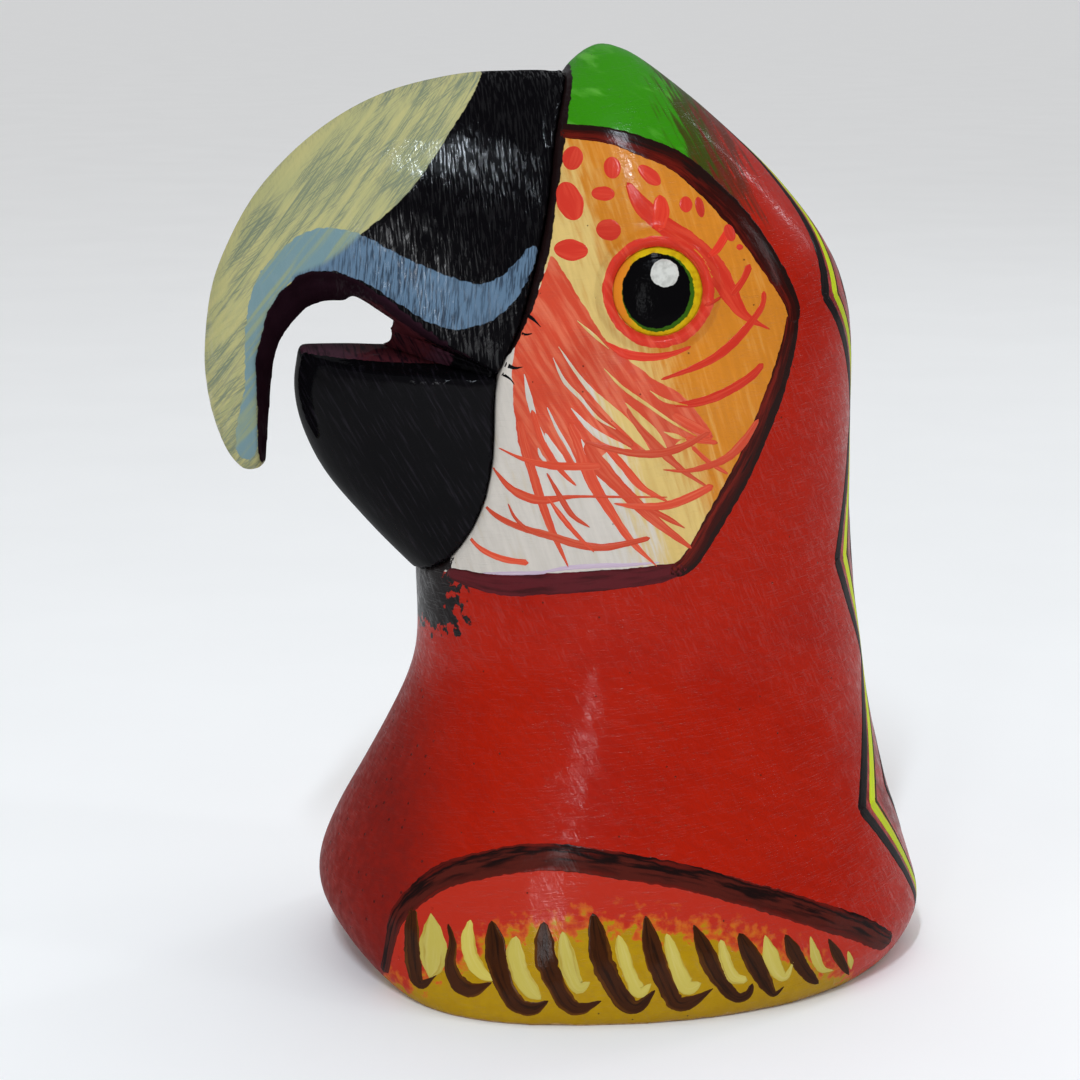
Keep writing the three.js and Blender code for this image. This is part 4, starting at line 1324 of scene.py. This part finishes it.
def make_seed(node, body, number):
    """A hard round seed, a little uneven, with a small dimple where it grew."""
    lowest, highest = box_of(node)
    middle, radius = (lowest + highest) / 2, (highest - lowest).min() / 2
    shape = bmesh.new()
    bmesh.ops.create_icosphere(shape, subdivisions=4, radius=1)
    deal = random.Random(SEED_DEAL + number)
    scar = Vector([deal.uniform(-1, 1) for _ in range(3)]).normalized()
    shift = Vector([deal.uniform(0, 50) for _ in range(3)])
    squash = [deal.uniform(0.93, 0.99) for _ in range(3)]
    for corner in shape.verts:
        lump = 1 + 0.03 * noise.noise(corner.co * 1.6 + shift) - 0.03
        dimple = 0.09 * float(fade(corner.co.dot(scar), 0.93, 1.0))
        reach = radius * (lump - dimple)
        corner.co = Vector([middle[i] + corner.co[i] * reach * squash[i] for i in range(3)]) * MM
    mesh = bpy.data.meshes.new(f"hard_{node}")
    shape.to_mesh(mesh)
    shape.free()
    add_piece(f"hard_{node}", mesh, MATERIALS["seed"], body, node)


# ---------------------------------------------------------------- carved pieces


def make_carved(node, name, finish, fields):
    """A carved piece in place of its node, with the areas of paint that its material reads."""
    mesh = fine_copy(node, *finish)
    carve(mesh)
    give(mesh, **fields(places(mesh), normals(mesh)))
    add_piece("painted_" + name, mesh, MATERIALS[name], node=node)
    return mesh


def surface_tree(*meshes):
    """All the surfaces that paint can land on."""
    points, faces = [], []
    for mesh in meshes:
        start = len(points)
        points += [corner.co.copy() for corner in mesh.vertices]
        faces += [[start + index for index in face.vertices] for face in mesh.polygons]
    return BVHTree.FromPolygons(points, faces)


# ---------------------------------------------------------------- camera, floor and light

# The camera's place and lens, and how far from the middle of the CAD box it looks.
CAMERA_DISTANCE = 0.42
CAMERA_ELEVATION = math.radians(12)
CAMERA_AZIMUTH = math.radians(-5)
FIELD_OF_VIEW = math.radians(22.4)
LOOK_OFFSET = Vector((-0.0046, 0, -0.0058))


def make_camera():
    """A camera a little above the shaker, at its left side and slightly towards the beak."""
    lowest, highest = (Vector(corner) for corner in cad_bounds)
    target = (lowest + highest) / 2 + LOOK_OFFSET
    back = Vector((
        math.sin(CAMERA_AZIMUTH) * math.cos(CAMERA_ELEVATION),
        -math.cos(CAMERA_AZIMUTH) * math.cos(CAMERA_ELEVATION),
        math.sin(CAMERA_ELEVATION),
    ))
    lens = bpy.data.cameras.new("camera")
    lens.angle = FIELD_OF_VIEW
    lens.clip_start = 0.01
    camera = bpy.data.objects.new("camera", lens)
    camera.location = target + back * CAMERA_DISTANCE
    camera.rotation_euler = back.to_track_quat("Z", "Y").to_euler()
    bpy.context.scene.collection.objects.link(camera)
    bpy.context.scene.camera = camera


def make_floor():
    """A plain pale floor that runs out of sight, 30 m each way."""
    size = 30
    mesh = bpy.data.meshes.new("floor")
    corners = [(-size, -size, 0), (size, -size, 0), (size, size, 0), (-size, size, 0)]
    mesh.from_pydata(corners, [], [(0, 1, 2, 3)])
    link("floor", mesh, floor_material())


# Tall windows: place, width, height, watts and colour.
WINDOWS = {
    "window": ((-0.2, -0.68, 0.82), 0.032, 0.3, 4.3, (0.8, 0.9, 1.0)),
    "low_window": ((-0.36, -0.95, 0.3), 0.07, 0.36, 1.2, (0.95, 0.97, 1.0)),
    "doorway": ((0.8, -0.32, 0.6), 0.06, 0.4, 0.7, (0.95, 0.97, 1.0)),
    "rear_window": ((0.75, 0.5, 0.62), 0.05, 0.45, 0.9, (0.88, 0.94, 1.0)),
}

# Broad far lights that cast no glare: the direction they shine from, strength and spread in degrees.
SUNS = {
    "front": ((-0.5, -0.5, 0.8), 0.25, 40),
    "right": ((0.7, -0.6, 0.3), 0.12, 60),
    "above": ((0.15, 0.4, 1.0), 1.25, 70),
}


def hang(name, lamp, place, back):
    """A lamp at a place that shines the other way from back."""
    light = bpy.data.objects.new(name, lamp)
    light.location = place
    light.rotation_euler = back.to_track_quat("Z", "Y").to_euler()
    bpy.context.scene.collection.objects.link(light)
    return light


def make_lights():
    """Windows that glint in the varnish, broad lights that don't, and a pale world."""
    target = (Vector(cad_bounds[0]) + Vector(cad_bounds[1])) / 2
    for name, (place, width, height, watts, colour) in WINDOWS.items():
        lamp = bpy.data.lights.new(name, "AREA")
        lamp.shape = "RECTANGLE"
        lamp.size, lamp.size_y = width, height
        lamp.energy = watts
        lamp.color = colour
        hang(name, lamp, Vector(place), Vector(place) - target)
    for name, (direction, strength, spread) in SUNS.items():
        lamp = bpy.data.lights.new(name, "SUN")
        lamp.energy = strength
        lamp.angle = math.radians(spread)
        hang(name, lamp, Vector(direction), Vector(direction)).visible_glossy = False
    world = bpy.data.worlds.new("studio")
    world.use_nodes = True
    world.node_tree.nodes["Background"].inputs["Color"].default_value = (0.93, 0.95, 1.0, 1.0)
    world.node_tree.nodes["Background"].inputs["Strength"].default_value = 0.28
    bpy.context.scene.world = world
    bpy.context.scene.view_settings.view_transform = "Standard"


# ---------------------------------------------------------------- the whole

make_camera()
make_floor()
make_lights()

EYES = {name: eye_frame(name) for name in SIDES}
MATERIALS = {
    "head": head_material(),
    "upper_beak": upper_beak_material(),
    "lower_beak": lower_beak_material(),
    "ground": ground_material(),
    "eye": eye_material(),
    "plug": wood_material("turned_balsa", WOOD, WOOD_DARK, (0, 0, 24)),
    "dowel": wood_material("peg_wood", PEG_WOOD, PEG_WOOD_DARK, (0, 0, 0)),
    "seed": seed_material(),
}
for name, (slot, main, second, extras) in FILM_PAINTS.items():
    MATERIALS[name] = film_material(name, main, second, **extras)

head = make_carved("head_shell", "head", HEAD_FINISH, head_fields)
make_carved("upper_beak", "upper_beak", BEAK_FINISH, beak_fields)
make_carved("lower_beak", "lower_beak", BEAK_FINISH, lower_fields)
skin = surface_tree(head)
lids = [make_lid(side_name, skin) for side_name in SIDES]
canvas = surface_tree(head, *lids)
for side_name in SIDES:
    make_eye(side_name)
    paint_side(canvas, side_name)
paint_strip(canvas)
make_mouth_fillet()
make_plug()
for node in frame["nodes"]:
    if "dowel" in node:
        make_dowel(node)
for number, (body, members) in enumerate(sorted(frame["record"]["behaviour"]["bodies"].items())):
    if body != BODY:
        make_seed(members[0], body, number)
